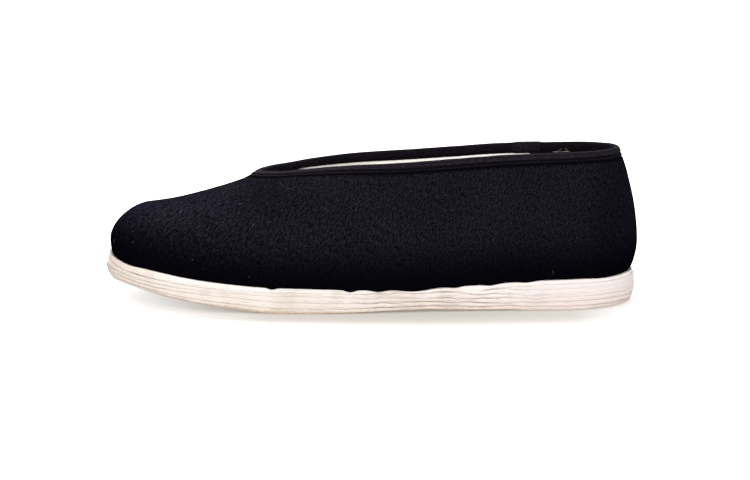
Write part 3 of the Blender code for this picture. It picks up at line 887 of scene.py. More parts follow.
def black_tape(weave):
    material, tree, shader = cloth_material("black_tape", 0.75, 0.02)
    cloth = place_group(tree, weave, millimetres(tree), Thread=0.7)
    # The rows' painted light: a painted highlight next to the fold, painted shade in the groove at the
    # stitching, at the foot and on the inner face.
    tone = attribute_node(tree, "row_share")
    patches = range_node(tree, noise_node(tree, millimetres(tree, "Object"), 0.12, 2.0), 0.42, 0.6)
    tint = blend_node(tree, patches, (0.0205, 0.0160, 0.0250), (0.0240, 0.0180, 0.0245))
    slubs = noise_node(tree, stretch_node(tree, millimetres(tree), (2.4, 0.7, 1.0)), 1.0, 3.0, 0.65)
    grain = math_node(tree, "ADD", math_node(tree, "MULTIPLY", cloth.outputs["Grain"], 0.5),
                      math_node(tree, "MULTIPLY", slubs, 0.5))
    grain = range_node(tree, grain, 0.42, 0.58, 0.1, 1.0)
    x, y, _ = split_node(tree, millimetres(tree, "Object"))
    lap = math_node(tree, "MULTIPLY", range_node(tree, x, LAP_FROM_X - 1, LAP_FROM_X + 3),
                    range_node(tree, x, LAP_TO_X + 0.2, LAP_TO_X - 0.4))
    lap = math_node(tree, "MULTIPLY", lap, range_node(tree, y, 0.0, 5.0))
    # That painted light, and paler where the ends lap.
    pale = math_node(tree, "ADD", tone, math_node(tree, "MULTIPLY", lap, 0.35), clamp=True)
    colour = blend_node(tree, math_node(tree, "MULTIPLY", grain, pale), (0.0022, 0.0016, 0.0030), tint)
    tree.links.new(colour, shader.inputs["Base Color"])
    bump(tree, shader, cloth.outputs["Height"], 0.10)
    return material


def facing_cotton(weave):
    material, tree, shader = cloth_material("facing_cotton", 0.85, 0.02)
    cloth = place_group(tree, weave, millimetres(tree), Thread=0.8)
    grain = range_node(tree, cloth.outputs["Grain"], 0.3, 0.7)
    tree.links.new(blend_node(tree, grain, (0.0022, 0.0018, 0.0028), (0.0090, 0.0075, 0.0095)),
                   shader.inputs["Base Color"])
    bump(tree, shader, cloth.outputs["Height"], 0.10)
    return material


def black_thread():
    material, tree, shader = cloth_material("black_thread", 0.7, 0.0)
    fibres = noise_node(tree, millimetres(tree, "Object"), 4.0, 2.0)
    colour = blend_node(tree, fibres, (0.002, 0.0016, 0.0026), (0.007, 0.006, 0.008))
    tree.links.new(colour, shader.inputs["Base Color"])
    return material


def lining_cotton(weave):
    material, tree, shader = cloth_material("lining_cotton", 0.9, 0.2, 0.15)
    cloth = place_group(tree, weave, millimetres(tree), Thread=0.75)
    grain = range_node(tree, cloth.outputs["Grain"], 0.3, 0.7)
    x, _, _ = split_node(tree, millimetres(tree, "Object"))
    front = range_node(tree, x, *THROAT_FACING_TO_X, 1.0, 0.0)
    white = blend_node(tree, grain, (0.88, 0.85, 0.82), (0.95, 0.93, 0.91))
    dark = blend_node(tree, grain, (0.006, 0.004, 0.006), (0.022, 0.014, 0.022))
    tree.links.new(blend_node(tree, front, white, dark), shader.inputs["Base Color"])
    bump(tree, shader, cloth.outputs["Height"], 0.10)
    return material


def insole_cotton(weave):
    material, tree, shader = cloth_material("insole_cotton", 0.92, 0.2, 0.15)
    where = millimetres(tree, "Object")
    cloth = place_group(tree, weave, where, Thread=0.9)
    soil = range_node(tree, noise_node(tree, where, 0.03, 4.0), 0.4, 0.7)
    clean = blend_node(tree, cloth.outputs["Grain"], (0.72, 0.68, 0.63), (0.82, 0.79, 0.75))
    tree.links.new(blend_node(tree, math_node(tree, "MULTIPLY", soil, 0.25), clean, (0.62, 0.55, 0.46)),
                   shader.inputs["Base Color"])
    bump(tree, shader, cloth.outputs["Height"], 0.12)
    return material


def ply_cotton(name, weave, light, shade, stain=0.0):
    """Cotton of one ply's folded edge: light is its colour on the fold and shade is painted shade between the
    folds, in the grooves where the plies meet and along fine lines pressed into the fold, and stain is how
    tan its lower edge is."""
    material, tree, shader = cloth_material(name, 0.92, 0.1, 0.05)
    edge = millimetres(tree)
    where = millimetres(tree, "Object")
    cloth = place_group(tree, weave, edge, Thread=0.7)
    share = attribute_node(tree, "row_share")
    x, _, _ = split_node(tree, where)
    # Painted shade in the grooves where one ply meets the next, broken up and less at the ball.
    off_middle = math_node(tree, "ABSOLUTE", math_node(tree, "SUBTRACT", share, 0.5))
    broken = noise_node(tree, stretch_node(tree, edge, (6.0, 1.2, 1.0)), 1.0, 3.0)
    broken = range_node(tree, broken, 0.44, 0.6)
    ball = math_node(tree, "MULTIPLY", range_node(tree, x, -110.0, -80.0), range_node(tree, x, 0.0, -30.0))
    off_ball = math_node(tree, "SUBTRACT", 1.0, math_node(tree, "MULTIPLY", ball, 0.5))
    broken = math_node(tree, "MULTIPLY", broken, off_ball)
    groove = math_node(tree, "MULTIPLY", range_node(tree, off_middle, 0.34, 0.5), broken)
    arch = math_node(tree, "MULTIPLY", range_node(tree, x, -30.0, 5.0), range_node(tree, x, 100.0, 60.0))
    sway = math_node(tree, "SUBTRACT", noise_node(tree, where, 0.15, 2.0), 0.5)
    sway = math_node(tree, "MULTIPLY", sway, 3.6)
    gathered = tree.nodes.new("ShaderNodeCombineXYZ")
    tree.links.new(math_node(tree, "MULTIPLY", sway, arch), gathered.inputs["Y"])
    bunched = tree.nodes.new("ShaderNodeVectorMath")
    tree.links.new(edge, bunched.inputs[0])
    tree.links.new(gathered.outputs[0], bunched.inputs[1])
    layers = noise_node(tree, stretch_node(tree, bunched.outputs[0], (14.0, 0.55, 1.0)), 1.0, 3.0, 0.65)
    # Painted shade along the fine lines pressed into the fold, more in the arch.
    lines = math_node(tree, "MULTIPLY", range_node(tree, layers, 0.53, 0.64, 0.0, 0.6),
                      math_node(tree, "ADD", 0.9, math_node(tree, "MULTIPLY", arch, 0.5)))
    quiet = range_node(tree, x, 50.0, 95.0, 1.0, 0.3)
    # All of the painted shade, fading towards the heel.
    dark = math_node(tree, "ADD", math_node(tree, "MULTIPLY", groove, 0.6), lines, clamp=True)
    dark = math_node(tree, "MULTIPLY", dark, quiet)
    heel_tint = (light[0], light[1] * 0.98, light[2] * 1.01)
    rosy = blend_node(tree, range_node(tree, x, -20.0, 100.0), light, heel_tint)
    # Colour between the cotton's own colour and its painted shade.
    colour = blend_node(tree, dark, rosy, shade)
    dusty = range_node(tree, x, -98.0, -136.0, 0.0, 0.5)
    soil = range_node(tree, noise_node(tree, where, 0.06, 4.0, 0.65), 0.45, 0.66, 0.0, 0.4 + stain * 0.5)
    soil = math_node(tree, "MULTIPLY", soil, quiet)
    specks = noise_node(tree, stretch_node(tree, edge, (2.2, 1.0, 1.0)), 1.0, 3.0, 0.6)
    speckled = range_node(tree, x, -60.0, -125.0, 0.05, 0.7)
    specks = math_node(tree, "MULTIPLY", range_node(tree, specks, 0.56, 0.66), speckled)
    dusty = math_node(tree, "ADD", dusty, specks)
    colour = blend_node(tree, math_node(tree, "ADD", soil, dusty, clamp=True), colour, (0.60, 0.50, 0.42))
    if stain:
        ragged = noise_node(tree, stretch_node(tree, edge, (3.0, 1.0, 1.0)), 1.0, 3.0)
        low = range_node(tree, math_node(tree, "ADD", share, ragged), 1.15, 0.65)
        low = math_node(tree, "MULTIPLY", math_node(tree, "MULTIPLY", low, stain), quiet)
        colour = blend_node(tree, low, colour, (0.52, 0.35, 0.21))
    grain = range_node(tree, cloth.outputs["Grain"], 0.3, 0.7, 0.0, 0.2)
    tree.links.new(blend_node(tree, grain, colour, (0.90, 0.85, 0.81)), shader.inputs["Base Color"])
    height = math_node(tree, "ADD", cloth.outputs["Height"], math_node(tree, "MULTIPLY", layers, -3.2))
    bump(tree, shader, height, 0.14)
    return material


def tread_cotton(weave):
    """The underside, quilted in rows of short stitches."""
    material, tree, shader = cloth_material("tread_cotton", 0.92, 0.1, 0.05)
    where = millimetres(tree, "Object")
    cloth = place_group(tree, weave, where, Thread=0.9)
    x, y, _ = split_node(tree, where)
    rows = range_node(tree, wave(tree, y, 6.0), 0.86, 0.95)
    slant = math_node(tree, "ADD", x, math_node(tree, "MULTIPLY", y, 0.66))
    stitches = math_node(tree, "MULTIPLY", rows, range_node(tree, wave(tree, slant, 8.0), 0.65, 0.8))
    grain = range_node(tree, cloth.outputs["Grain"], 0.3, 0.7)
    base = blend_node(tree, grain, (0.60, 0.52, 0.44), (0.74, 0.67, 0.59))
    soil = range_node(tree, noise_node(tree, where, 0.03, 4.0, 0.6), 0.42, 0.68, 0.0, 0.5)
    base = blend_node(tree, soil, base, (0.48, 0.38, 0.29))
    tree.links.new(blend_node(tree, stitches, base, (0.82, 0.77, 0.70)), shader.inputs["Base Color"])
    drawn_in = math_node(tree, "MULTIPLY", stitches, 3.0)
    bump(tree, shader, math_node(tree, "SUBTRACT", cloth.outputs["Height"], drawn_in), 0.14)
    return material


def loose_fibre(name, first, second):
    material, tree, shader = cloth_material(name, 0.75, 0.2, 0.1)
    tint = range_node(tree, noise_node(tree, millimetres(tree, "Object"), 0.3, 1.0), 0.4, 0.6)
    tree.links.new(blend_node(tree, tint, first, second), shader.inputs["Base Color"])
    return material


# The upper

def make_upper(ribs, twill, lining):
    mesh, rows = loft([list(row) for row in zip(*ribs)])
    bmesh.ops.recalc_face_normals(mesh, faces=mesh.faces)
    mesh.normal_update()
    lengths = [distances(rib) for rib in ribs]
    to_edge = [total[-1] - total[k] for k in range(len(rows)) for total in lengths]
    mesh.verts.ensure_lookup_table()
    shifts = [v.normal * upper_relief(v.co, away) for v, away in zip(mesh.verts, to_edge)]
    for v, shift in zip(mesh.verts, shifts):
        v.co += shift
    upper = scene_object("upper_cloth", mesh, [twill, lining], 80)
    # Painted shade, kept at the cloth's points for its material.
    shade = upper.data.attributes.new("shade", "FLOAT", "POINT")
    for v, item, away in zip(upper.data.vertices, shade.data, to_edge):
        item.value = painted_cloth_shade(v.co / MM, away)
    map_cloth(upper, len(ribs), len(rows))
    wall = upper.modifiers.new("wall", "SOLIDIFY")
    wall.thickness = WALL * MM
    wall.offset = -1
    wall.use_even_offset = True
    wall.material_offset = 1
    wall.material_offset_rim = 0
    apply_modifiers(upper)
    dress(upper, "twill", "upper")
    return upper


def map_cloth(upper, count, rows):
    """Lays the cloth flat from a cut up the back of the heel, true to size, level on the outer side."""
    shape = upper.data
    back = UPPER_STEPS[0] + UPPER_STEPS[1] + UPPER_STEPS[2]
    for edge in shape.edges:
        low, high = sorted(edge.vertices)
        if low % count == back and high - low == count:
            edge.use_seam = True
    shape.uv_layers.new(name="cloth")
    bpy.context.view_layer.objects.active = upper
    for other in bpy.context.selected_objects:
        other.select_set(False)
    upper.select_set(True)
    bpy.ops.object.mode_set(mode="EDIT")
    bpy.ops.mesh.select_all(action="SELECT")
    bpy.ops.uv.unwrap(method="CONFORMAL", margin=0.0)
    bpy.ops.object.mode_set(mode="OBJECT")
    layer = shape.uv_layers["cloth"].uv
    at_vertex = {loop.vertex_index: Vector(layer[loop.index].vector) for loop in shape.loops}
    middle = (rows // 2) * count
    first = middle + UPPER_STEPS[0] + UPPER_STEPS[1] // 2
    second = first + 12
    above = first + 10 * count
    run = at_vertex[second] - at_vertex[first]
    rise = at_vertex[above] - at_vertex[first]
    size = (shape.vertices[second].co - shape.vertices[first].co).length * 10 / run.length
    turn = -math.atan2(run.y, run.x)
    flip = -1 if run.x * rise.y - run.y * rise.x < 0 else 1
    cos, sin = math.cos(turn) * size, math.sin(turn) * size
    for item in layer:
        u, v = item.vector
        item.vector = (u * cos - v * sin, (u * sin + v * cos) * flip)


# The folded tape

def outward(ribs, index):
    """The upper's outward direction at the collar's edge of one rib in the closed ring of ribs."""
    before, here, after = ribs[index - 1], ribs[index], ribs[(index + 1) % len(ribs)]
    round_the_collar = after[-1] - before[-1]
    return round_the_collar.cross(here[-1] - here[-3]).normalized()


def lap_lift(spot):
    """Extra height of the tape where its ends lap on the inner side."""
    if spot.y < 0 or not LAP_FROM_X < spot.x < LAP_TO_X:
        return 0.0
    return LAP_LIFT * ramp(spot.x, LAP_FROM_X, LAP_FROM_X + 4)


def tape_frame(ribs, index):
    """Middle of the wall at the collar's edge, the way outwards and the way down it."""
    edge = ribs[index][-1]
    across = outward(ribs, index)
    return edge - across * (WALL / 2 + TAPE_SINK), across, (ribs[index][-6] - edge).normalized()


TapeRow = namedtuple("TapeRow", "below high tone")


def tape_face(depth, stitching):
    """Rows of one face of the tape, foot to fold: below the edge, height over its inner side, and painted
    light, from painted shade at the foot and in the groove at the stitching to a painted highlight near the
    fold.
    """
    return (
        TapeRow(depth, TAPE * 0.15, 0.0),
        TapeRow(depth - 0.25, TAPE * 0.6, 0.0),
        TapeRow(depth - 0.7, TAPE * 0.85, 0.25),
        TapeRow(stitching + 0.6, TAPE * 0.85, 0.5),
        TapeRow(stitching + 0.3, TAPE * 0.45, 0.1),
        TapeRow(stitching, TAPE * 0.2, 0.0),
        TapeRow(stitching - 0.3, TAPE * 0.45, 0.05),
        TapeRow(stitching - 0.75, TAPE * 0.9, 0.5),
        TapeRow(stitching * 0.5, TAPE, 1.0),
        TapeRow(0.2, TAPE, 0.85),
    )


def tape_section(ribs, index):
    """The tape's closed section over one rib's edge, outer face, fold, inner face, then its inner side, as
    points and their painted light."""
    centre, across, down = tape_frame(ribs, index)
    edge = ribs[index][-1]
    ripple = TAPE_WAVE * waver(edge.x, edge.y, 0, 9, 4)
    inside = WALL / 2 + TAPE_CLEAR + lap_lift(edge)
    roll = TAPE_ROLL + lap_lift(edge) + ripple

    def at(out, below):
        return centre + across * out + down * below

    outer = tape_face(TAPE_DEPTH, STITCH_DEPTH)
    inner = tape_face(TAPE_DEPTH_INSIDE, STITCH_DEPTH_INSIDE)[::-1]
    section = [(at(inside + row.high + ripple * 0.4, row.below), row.tone) for row in outer]
    # Painted light over the fold: half on its outer half, the inner face's share on its inner half.
    for turn in (12, 30, 50, 70, 90, 110, 130, 150, 168):
        angle = math.radians(turn)
        fold = at((inside + TAPE) * math.cos(angle), -roll * math.sin(angle))
        section.append((fold, 0.5 if turn < 80 else TAPE_INNER_PAINTED_LIGHT))
    section += [(at(-inside - row.high, row.below), row.tone * TAPE_INNER_PAINTED_LIGHT) for row in inner]
    section.append((at(-inside, TAPE_DEPTH_INSIDE), 0.0))
    for turn in (180, 135, 90, 45, 0):
        angle = math.radians(turn)
        section.append((at(inside * math.cos(angle), -(roll - TAPE) * math.sin(angle)), 0.0))
    return section + [(at(inside, TAPE_DEPTH), 0.0)]


def make_tape(ribs, material):
    made = [tape_section(ribs, i) for i in range(len(ribs))]
    sections = [[point for point, _ in section] for section in made]
    # The painted light of each row, kept on the tape as its row_share.
    painted_light_rows = [tone for _, tone in made[0]]
    mesh, rows = loft([list(row) for row in zip(*sections)], closed_rows=True, shares=painted_light_rows)
    bmesh.ops.recalc_face_normals(mesh, faces=mesh.faces)
    layer = mesh.loops.layers.uv.new("tape")
    travelled = distances([rib[-1] for rib in ribs] + [ribs[0][-1]])
    around = distances(sections[0] + [sections[0][0]])
    place = {}
    for r, row in enumerate(rows):
        for i, v in enumerate(row):
            place[v] = (r, i)
    for face in mesh.faces:
        spots = [place[loop.vert] for loop in face.loops]
        wrap_row = max(r for r, _ in spots) - min(r for r, _ in spots) > 1
        wrap_rib = max(i for _, i in spots) - min(i for _, i in spots) > 1
        for loop, (r, i) in zip(face.loops, spots):
            u = travelled[len(ribs)] if wrap_rib and i == 0 else travelled[i]
            v = around[len(rows)] if wrap_row and r == 0 else around[r]
            loop[layer].uv = (u / 100, v / 100)
    tape = scene_object("mouth_tape", mesh, [material], 60)
    dress(tape, "tape", "collar_binding")
    return tape


def stitch_tree(material):
    """Geometry Nodes: short stitches laid end to end along a line."""
    tree = bpy.data.node_groups.new("row_of_stitches", "GeometryNodeTree")
    tree.interface.new_socket(name="Line", in_out="INPUT", socket_type="NodeSocketGeometry")
    sizes = {"Spacing": STITCH_SPACING, "Length": STITCH_LENGTH, "Thickness": STITCH_THICKNESS}
    for label, value in sizes.items():
        socket = tree.interface.new_socket(name=label, in_out="INPUT", socket_type="NodeSocketFloat")
        socket.default_value = value * MM
    tree.interface.new_socket(name="Stitches", in_out="OUTPUT", socket_type="NodeSocketGeometry")
    start, end = tree.nodes.new("NodeGroupInput"), tree.nodes.new("NodeGroupOutput")
    spread = tree.nodes.new("GeometryNodeCurveToPoints")
    spread.mode = "LENGTH"
    ball = tree.nodes.new("GeometryNodeMeshUVSphere")
    ball.inputs["Segments"].default_value = 8
    ball.inputs["Rings"].default_value = 6
    ball.inputs["Radius"].default_value = 1.0
    stretch = tree.nodes.new("ShaderNodeCombineXYZ")
    shape = tree.nodes.new("GeometryNodeTransform")
    place = tree.nodes.new("GeometryNodeInstanceOnPoints")
    realize = tree.nodes.new("GeometryNodeRealizeInstances")
    finish = tree.nodes.new("GeometryNodeSetMaterial")
    finish.inputs["Material"].default_value = material
    smooth = tree.nodes.new("GeometryNodeSetShadeSmooth")
    half_length = math_node(tree, "MULTIPLY", start.outputs["Length"], 0.5)
    half_thick = math_node(tree, "MULTIPLY", start.outputs["Thickness"], 0.5)
    link = tree.links.new
    link(start.outputs["Line"], spread.inputs["Curve"])
    link(start.outputs["Spacing"], spread.inputs["Length"])
    link(half_thick, stretch.inputs["X"])
    link(half_thick, stretch.inputs["Y"])
    link(half_length, stretch.inputs["Z"])
    link(ball.outputs["Mesh"], shape.inputs["Geometry"])
    link(stretch.outputs[0], shape.inputs["Scale"])
    link(spread.outputs["Points"], place.inputs["Points"])
    link(spread.outputs["Rotation"], place.inputs["Rotation"])
    link(shape.outputs["Geometry"], place.inputs["Instance"])
    link(place.outputs["Instances"], realize.inputs["Geometry"])
    link(realize.outputs["Geometry"], smooth.inputs["Geometry"])
    link(smooth.outputs["Geometry"], finish.inputs["Geometry"])
    link(finish.outputs["Geometry"], end.inputs["Stitches"])
    return tree


def make_stitches(name, lines, tree, slot):
    """Rows of stitches along closed lines of points."""
    curve = bpy.data.curves.new(name + "_line", "CURVE")
    curve.dimensions = "3D"
    for points in lines:
        spline = curve.splines.new("POLY")
        spline.points.add(len(points) - 1)
        for spot, point in zip(spline.points, points):
            spot.co = (*(point * MM), 1)
        spline.use_cyclic_u = True
    path = bpy.data.objects.new(name + "_line", curve)
    bpy.context.scene.collection.objects.link(path)
    rows = path.modifiers.new("stitches", "NODES")
    rows.node_group = tree
    graph = bpy.context.evaluated_depsgraph_get()
    shape = bpy.data.meshes.new_from_object(path.evaluated_get(graph))
    shape.name = name
    bpy.data.objects.remove(path)
    piece = bpy.data.objects.new(name, shape)
    bpy.context.scene.collection.objects.link(piece)
    dress(piece, slot)
    return piece


def tape_stitch_line(ribs, face):
    """The line of stitching on the tape, on its outer (1) or inner (-1) face."""
    line = []
    for i, rib in enumerate(ribs):
        centre, across, down = tape_frame(ribs, i)
        stand = WALL / 2 + TAPE_CLEAR + lap_lift(rib[-1]) + TAPE * 0.25 + STITCH_THICKNESS * 0.3
        depth = STITCH_DEPTH if face > 0 else STITCH_DEPTH_INSIDE
        line.append(centre + across * (face * stand) + down * depth)
    return line


# The heel's inner facing and the insole

def make_facing(ribs, material):
    """A black patch inside the heel, below the tape."""
    chosen = [i for i, rib in enumerate(ribs) if rib[-1].x > FACING_FROM_X]
    start = next(i for i in chosen if i - 1 not in chosen)
    run = [start + k for k in range(len(chosen))]
    rings = []
    for layer in (FACING_CLEAR, FACING_CLEAR + FACING):
        for i in run:
            rib = ribs[i % len(ribs)]
            across = outward(ribs, i % len(ribs))
            total = distances(rib)
            reach = total[-1] - TAPE_DEPTH_INSIDE + FACING_UNDER_TAPE
            foot = total[-1] * FACING_FOOT
            line = []
            for k in range(FACING_ROWS + 1):
                depth = WALL + layer + TAPE_SINK * ramp(k, 14, 21)
                line.append(along(rib, total, foot + (reach - foot) * k / FACING_ROWS) - across * depth)
            rings.append(line)
    half = len(run)
    mesh = bmesh.new()
    grid = [[mesh.verts.new(p) for p in line] for line in rings]
    near, far = grid[:half], grid[half:]
    for a in (near, far):
        for i in range(half - 1):
            for k in range(FACING_ROWS):
                mesh.faces.new((a[i][k], a[i + 1][k], a[i + 1][k + 1], a[i][k + 1]))
    for i in range(half - 1):
        for k in (0, FACING_ROWS):
            mesh.faces.new((near[i][k], near[i + 1][k], far[i + 1][k], far[i][k]))
    for k in range(FACING_ROWS):
        for i in (0, half - 1):
            mesh.faces.new((near[i][k], near[i][k + 1], far[i][k + 1], far[i][k]))
    bmesh.ops.recalc_face_normals(mesh, faces=mesh.faces)
    layer = mesh.loops.layers.uv.new("facing")
    for face in mesh.faces:
        for loop in face.loops:
            loop[layer].uv = ((loop.vert.co.x + loop.vert.co.y) / 100, loop.vert.co.z / 100)
    facing = scene_object("heel_facing", mesh, [material], 60)
    dress(facing, "twill")


def make_insole(material):
    steps = stations(*PLY_STEPS)
    profile = ((0.25, 0.0), (0.0, 0.25), (0.0, 0.6), (0.12, 0.85), (0.5, 1.0))
    rings = []
    for inset, share in profile:
        sides = []
        for side in (OUTER, INNER):
            within = INSOLE_CLEAR + inset
            ends = (BASE_TIP_X + within, BASE_BACK_X - within, BASE_WIDEN - within)
            spots = [plan_point(s, side, *ends) for s in steps]
            sides.append([Vector((x, y, sole_top(x) + SEAT_GAP + INSOLE * share)) for x, y in spots])
        rings.append(ring(*sides))
    mesh, rows = loft(rings)
    cap(mesh, rows[0], len(steps))
    cap(mesh, rows[-1], len(steps))
    bmesh.ops.recalc_face_normals(mesh, faces=mesh.faces)
    insole = scene_object("insole_cloth", mesh, [material], 60)
    dress(insole, "lining", "insole")


# The sole

def sole_outline(station, side, inset, tip_in=0.0, back_in=0.0):
    return plan_point(station, side, SOLE_TIP_X + inset + tip_in, SOLE_BACK_X - inset - back_in, -inset)


def fold_strength(x):
    """How plainly the plies' folds show: most at the toe and under the arch, least at the heel."""
    toe = 1 - ramp(x, -110, -70)
    arch = ramp(x, -25, 10) * (1 - ramp(x, 62, 92))
    return 0.16 + 0.5 * toe + 0.6 * arch


def fold_wave(boundary, x, y):
    """Rise and fall of the line between two plies; the tread and the sole's top stay true."""
    arch = ramp(x, -30, 15) * (1 - ramp(x, 70, 100))
    own = waver(x, y * 0.4, 0, 19, boundary) + (0.5 + 0.5 * arch) * waver(x, y * 0.4, 0, 6, boundary + 0.5)
    return (0.16 + 0.5 * arch) * own


def boundary_wave(boundary, x, y):
    """The wave of a boundary, counted from 0 at the tread; 5 and 6 part from 4 where the heel plies begin."""
    if boundary == 0:
        return 0.0
    if boundary == 7:
        return -foot_drop(OUTER if y < lookup(PLAN, "centre", x) else INNER, x)
    if boundary <= UNDER_HEEL_PLIES:
        return fold_wave(boundary, x, y)
    start = HEEL_PLY_STARTS_X[boundary - UNDER_HEEL_PLIES - 1]
    share = ramp(x, start, start + HEEL_PLY_RAMP)
    return fold_wave(UNDER_HEEL_PLIES, x, y) * (1 - share) + fold_wave(boundary, x, y) * share


def edge_bulge(share, lower, upper):
    """How far a ply's edge lies inside its widest point at a share of its thickness."""
    if share < 0.5:
        return lower * (1 - rounded(1 - 2 * share, 2.2))
    return upper * (1 - rounded(2 * share - 1, 2.2))


def make_ply(name, steps, bottom, thickness, insets, rounds, boundaries, materials, nodes,
             lip=False, closed_front=False):
    """One ply. bottom and thickness are functions of x, insets are those of its edge and the more at its tip
    and back, rounds are at its lower and upper edge, and boundaries number the lines under and over it. Its
    materials are those of the edge and, for the lowest, of the tread."""
    inset, tip_in, back_in = insets
    slot = "ground" if boundaries[0] == 0 else "ply"
    profile = [(k / EDGE_ROWS, 0.0, 0.0) for k in range(EDGE_ROWS + 1)]
    if lip:
        profile.append((1.0, LIP_INSET, LIP_HEIGHT))
        profile.append((1.0, LIP_INSET + 0.3, LIP_HEIGHT * 0.9))
        profile.append((1.0, LIP_BACK, 0.0))
    rings, shares = [], []
    for share, back, rise in profile:
        sides = []
        for side in (OUTER, INNER):
            line = []
            for station in steps:
                x0, y0 = sole_outline(station, side, inset, tip_in, back_in)
                rough = 0.14 * waver(x0, y0, share * 3 + boundaries[0] * 7, 6, 5)
                uneven = waver(x0, y0, round(share) + boundaries[0] * 5, 13, 6)
                bulging = fold_strength(x0) * (1 + 2.2 * uneven)
                give = back - inset if back else edge_bulge(share, *rounds) * max(bulging, 0.06)
                give += max(rough, -0.1)
                x, y = sole_outline(station, side, inset + give, tip_in, back_in)
                low = bottom(x) + boundary_wave(boundaries[0], x, y)
                high = bottom(x) + thickness(x) + boundary_wave(boundaries[1], x, y)
                bead = rise * (0.7 + 0.6 * waver(x, y, 0, 12, 8)) if rise else 0.0
                line.append(Vector((x, y, low + (high - low) * share + bead)))
            sides.append(line)
        rings.append(sides[0] + sides[1][-2::-1] if closed_front else ring(*sides))
        shares.append(min(share, 0.5) if lip else share)
    mesh, rows = loft(rings, shares=shares)
    for row in (rows[0], rows[-1]):
        if closed_front:
            cap_behind(mesh, row, len(steps))
        else:
            cap(mesh, row, len(steps))
    bmesh.ops.recalc_face_normals(mesh, faces=mesh.faces)
    map_edge(mesh, rows, rings)
    if len(materials) > 1:
        lowest = set(rows[0])
        for face in mesh.faces:
            face.material_index = int(lowest.issuperset(face.verts))
    dress(scene_object(name, mesh, materials, 50), slot, nodes)


def cap_behind(mesh, row, per_side):
    """Closes a ring that has no tip: its first points on each side face each other."""
    count = len(row)
    for i in range(per_side - 1):
        corners = [row[i], row[i + 1], row[count - i - 2], row[count - i - 1]]
        mesh.faces.new(list(dict.fromkeys(corners)))


def map_edge(mesh, rows, rings):
    """UV along and up the ply's edge."""
    layer = mesh.loops.layers.uv.new("edge")
    travelled = distances(rings[0] + [rings[0][0]])
    up = distances([r[len(r) // 4] for r in rings])
    place = {}
    for r, row in enumerate(rows):
        for i, v in enumerate(row):
            place[v] = (r, i)
    for face in mesh.faces:
        spots = [place[loop.vert] for loop in face.loops]
        flat = len({r for r, _ in spots}) == 1
        wrap = max(i for _, i in spots) - min(i for _, i in spots) > 1
        for loop, (r, i) in zip(face.loops, spots):
            if flat:
                loop[layer].uv = (loop.vert.co.x / 100, loop.vert.co.y / 100)
            else:
                u = travelled[len(rings[0])] if wrap and i == 0 else travelled[i]
                loop[layer].uv = (u / 100, up[r] / 100)


def make_sole(weave):
    # light is the plies' own colour; shade, like the ground ply's second colour, is painted shade between the
    # folds.
    light = (0.82, 0.76, 0.72)
    shade = (0.50, 0.43, 0.385)
    tan = ply_cotton("ground_cotton", weave, (0.80, 0.715, 0.64), (0.46, 0.35, 0.26), 0.75)
    steps = stations(*PLY_STEPS)
    for index, inset in enumerate(PLY_INSETS):
        warmth = 1 - 0.018 * (len(PLY_INSETS) - 1 - index)
        tint = (light[0], light[1] * warmth, light[2] * warmth**2)
        cotton = tan if index == 0 else ply_cotton(f"ply_cotton_{index + 1}", weave, tint, shade)
        top = 7 if index == len(PLY_INSETS) - 1 else index + 1
        low = 6 if index == len(PLY_INSETS) - 1 else index
        make_ply(
            f"cloth_ply_{index + 1}",
            steps,
            lambda x, index=index: full_ply_bottom(x, index),
            lambda x, index=index: full_ply_thickness(x, index),
            (inset, PLY_TIPS_IN[index], PLY_BACKS_IN[index]),
            (GROUND_EDGE_ROUND if index == 0 else PLY_EDGE_ROUND, PLY_EDGE_ROUND),
            (low, top),
            [cotton, tread_cotton(weave)] if index == 0 else [cotton],
            f"sole_ply_{index + 1}",
            lip=index == len(PLY_INSETS) - 1,
        )
    for index, start in enumerate(HEEL_PLY_STARTS_X):
        front = start
        while heel_slot(front, start) < PLY_GAP + HEEL_PLY_THINNEST:
            front += 0.5
        behind = [s for s in steps if s[0] == "heel" or (s[0] == "waist" and s[1] > front + 1)]
        make_ply(
            f"cloth_heel_ply_{index + 1}",
            [("waist", front)] + behind,
            lambda x, index=index: heel_ply_bottom(x, index),
            lambda x, start=start: heel_slot(x, start) - PLY_GAP,
            (HEEL_PLY_INSET, 0.0, 0.0),
            (PLY_EDGE_ROUND * 0.8, PLY_EDGE_ROUND * 0.8),
            (UNDER_HEEL_PLIES + index, UNDER_HEEL_PLIES + index + 1),
            [ply_cotton(f"heel_ply_cotton_{index + 1}", weave, light, shade)],
            f"heel_ply_{index + 1}",
            closed_front=True,
        )


# Lint and loose threads

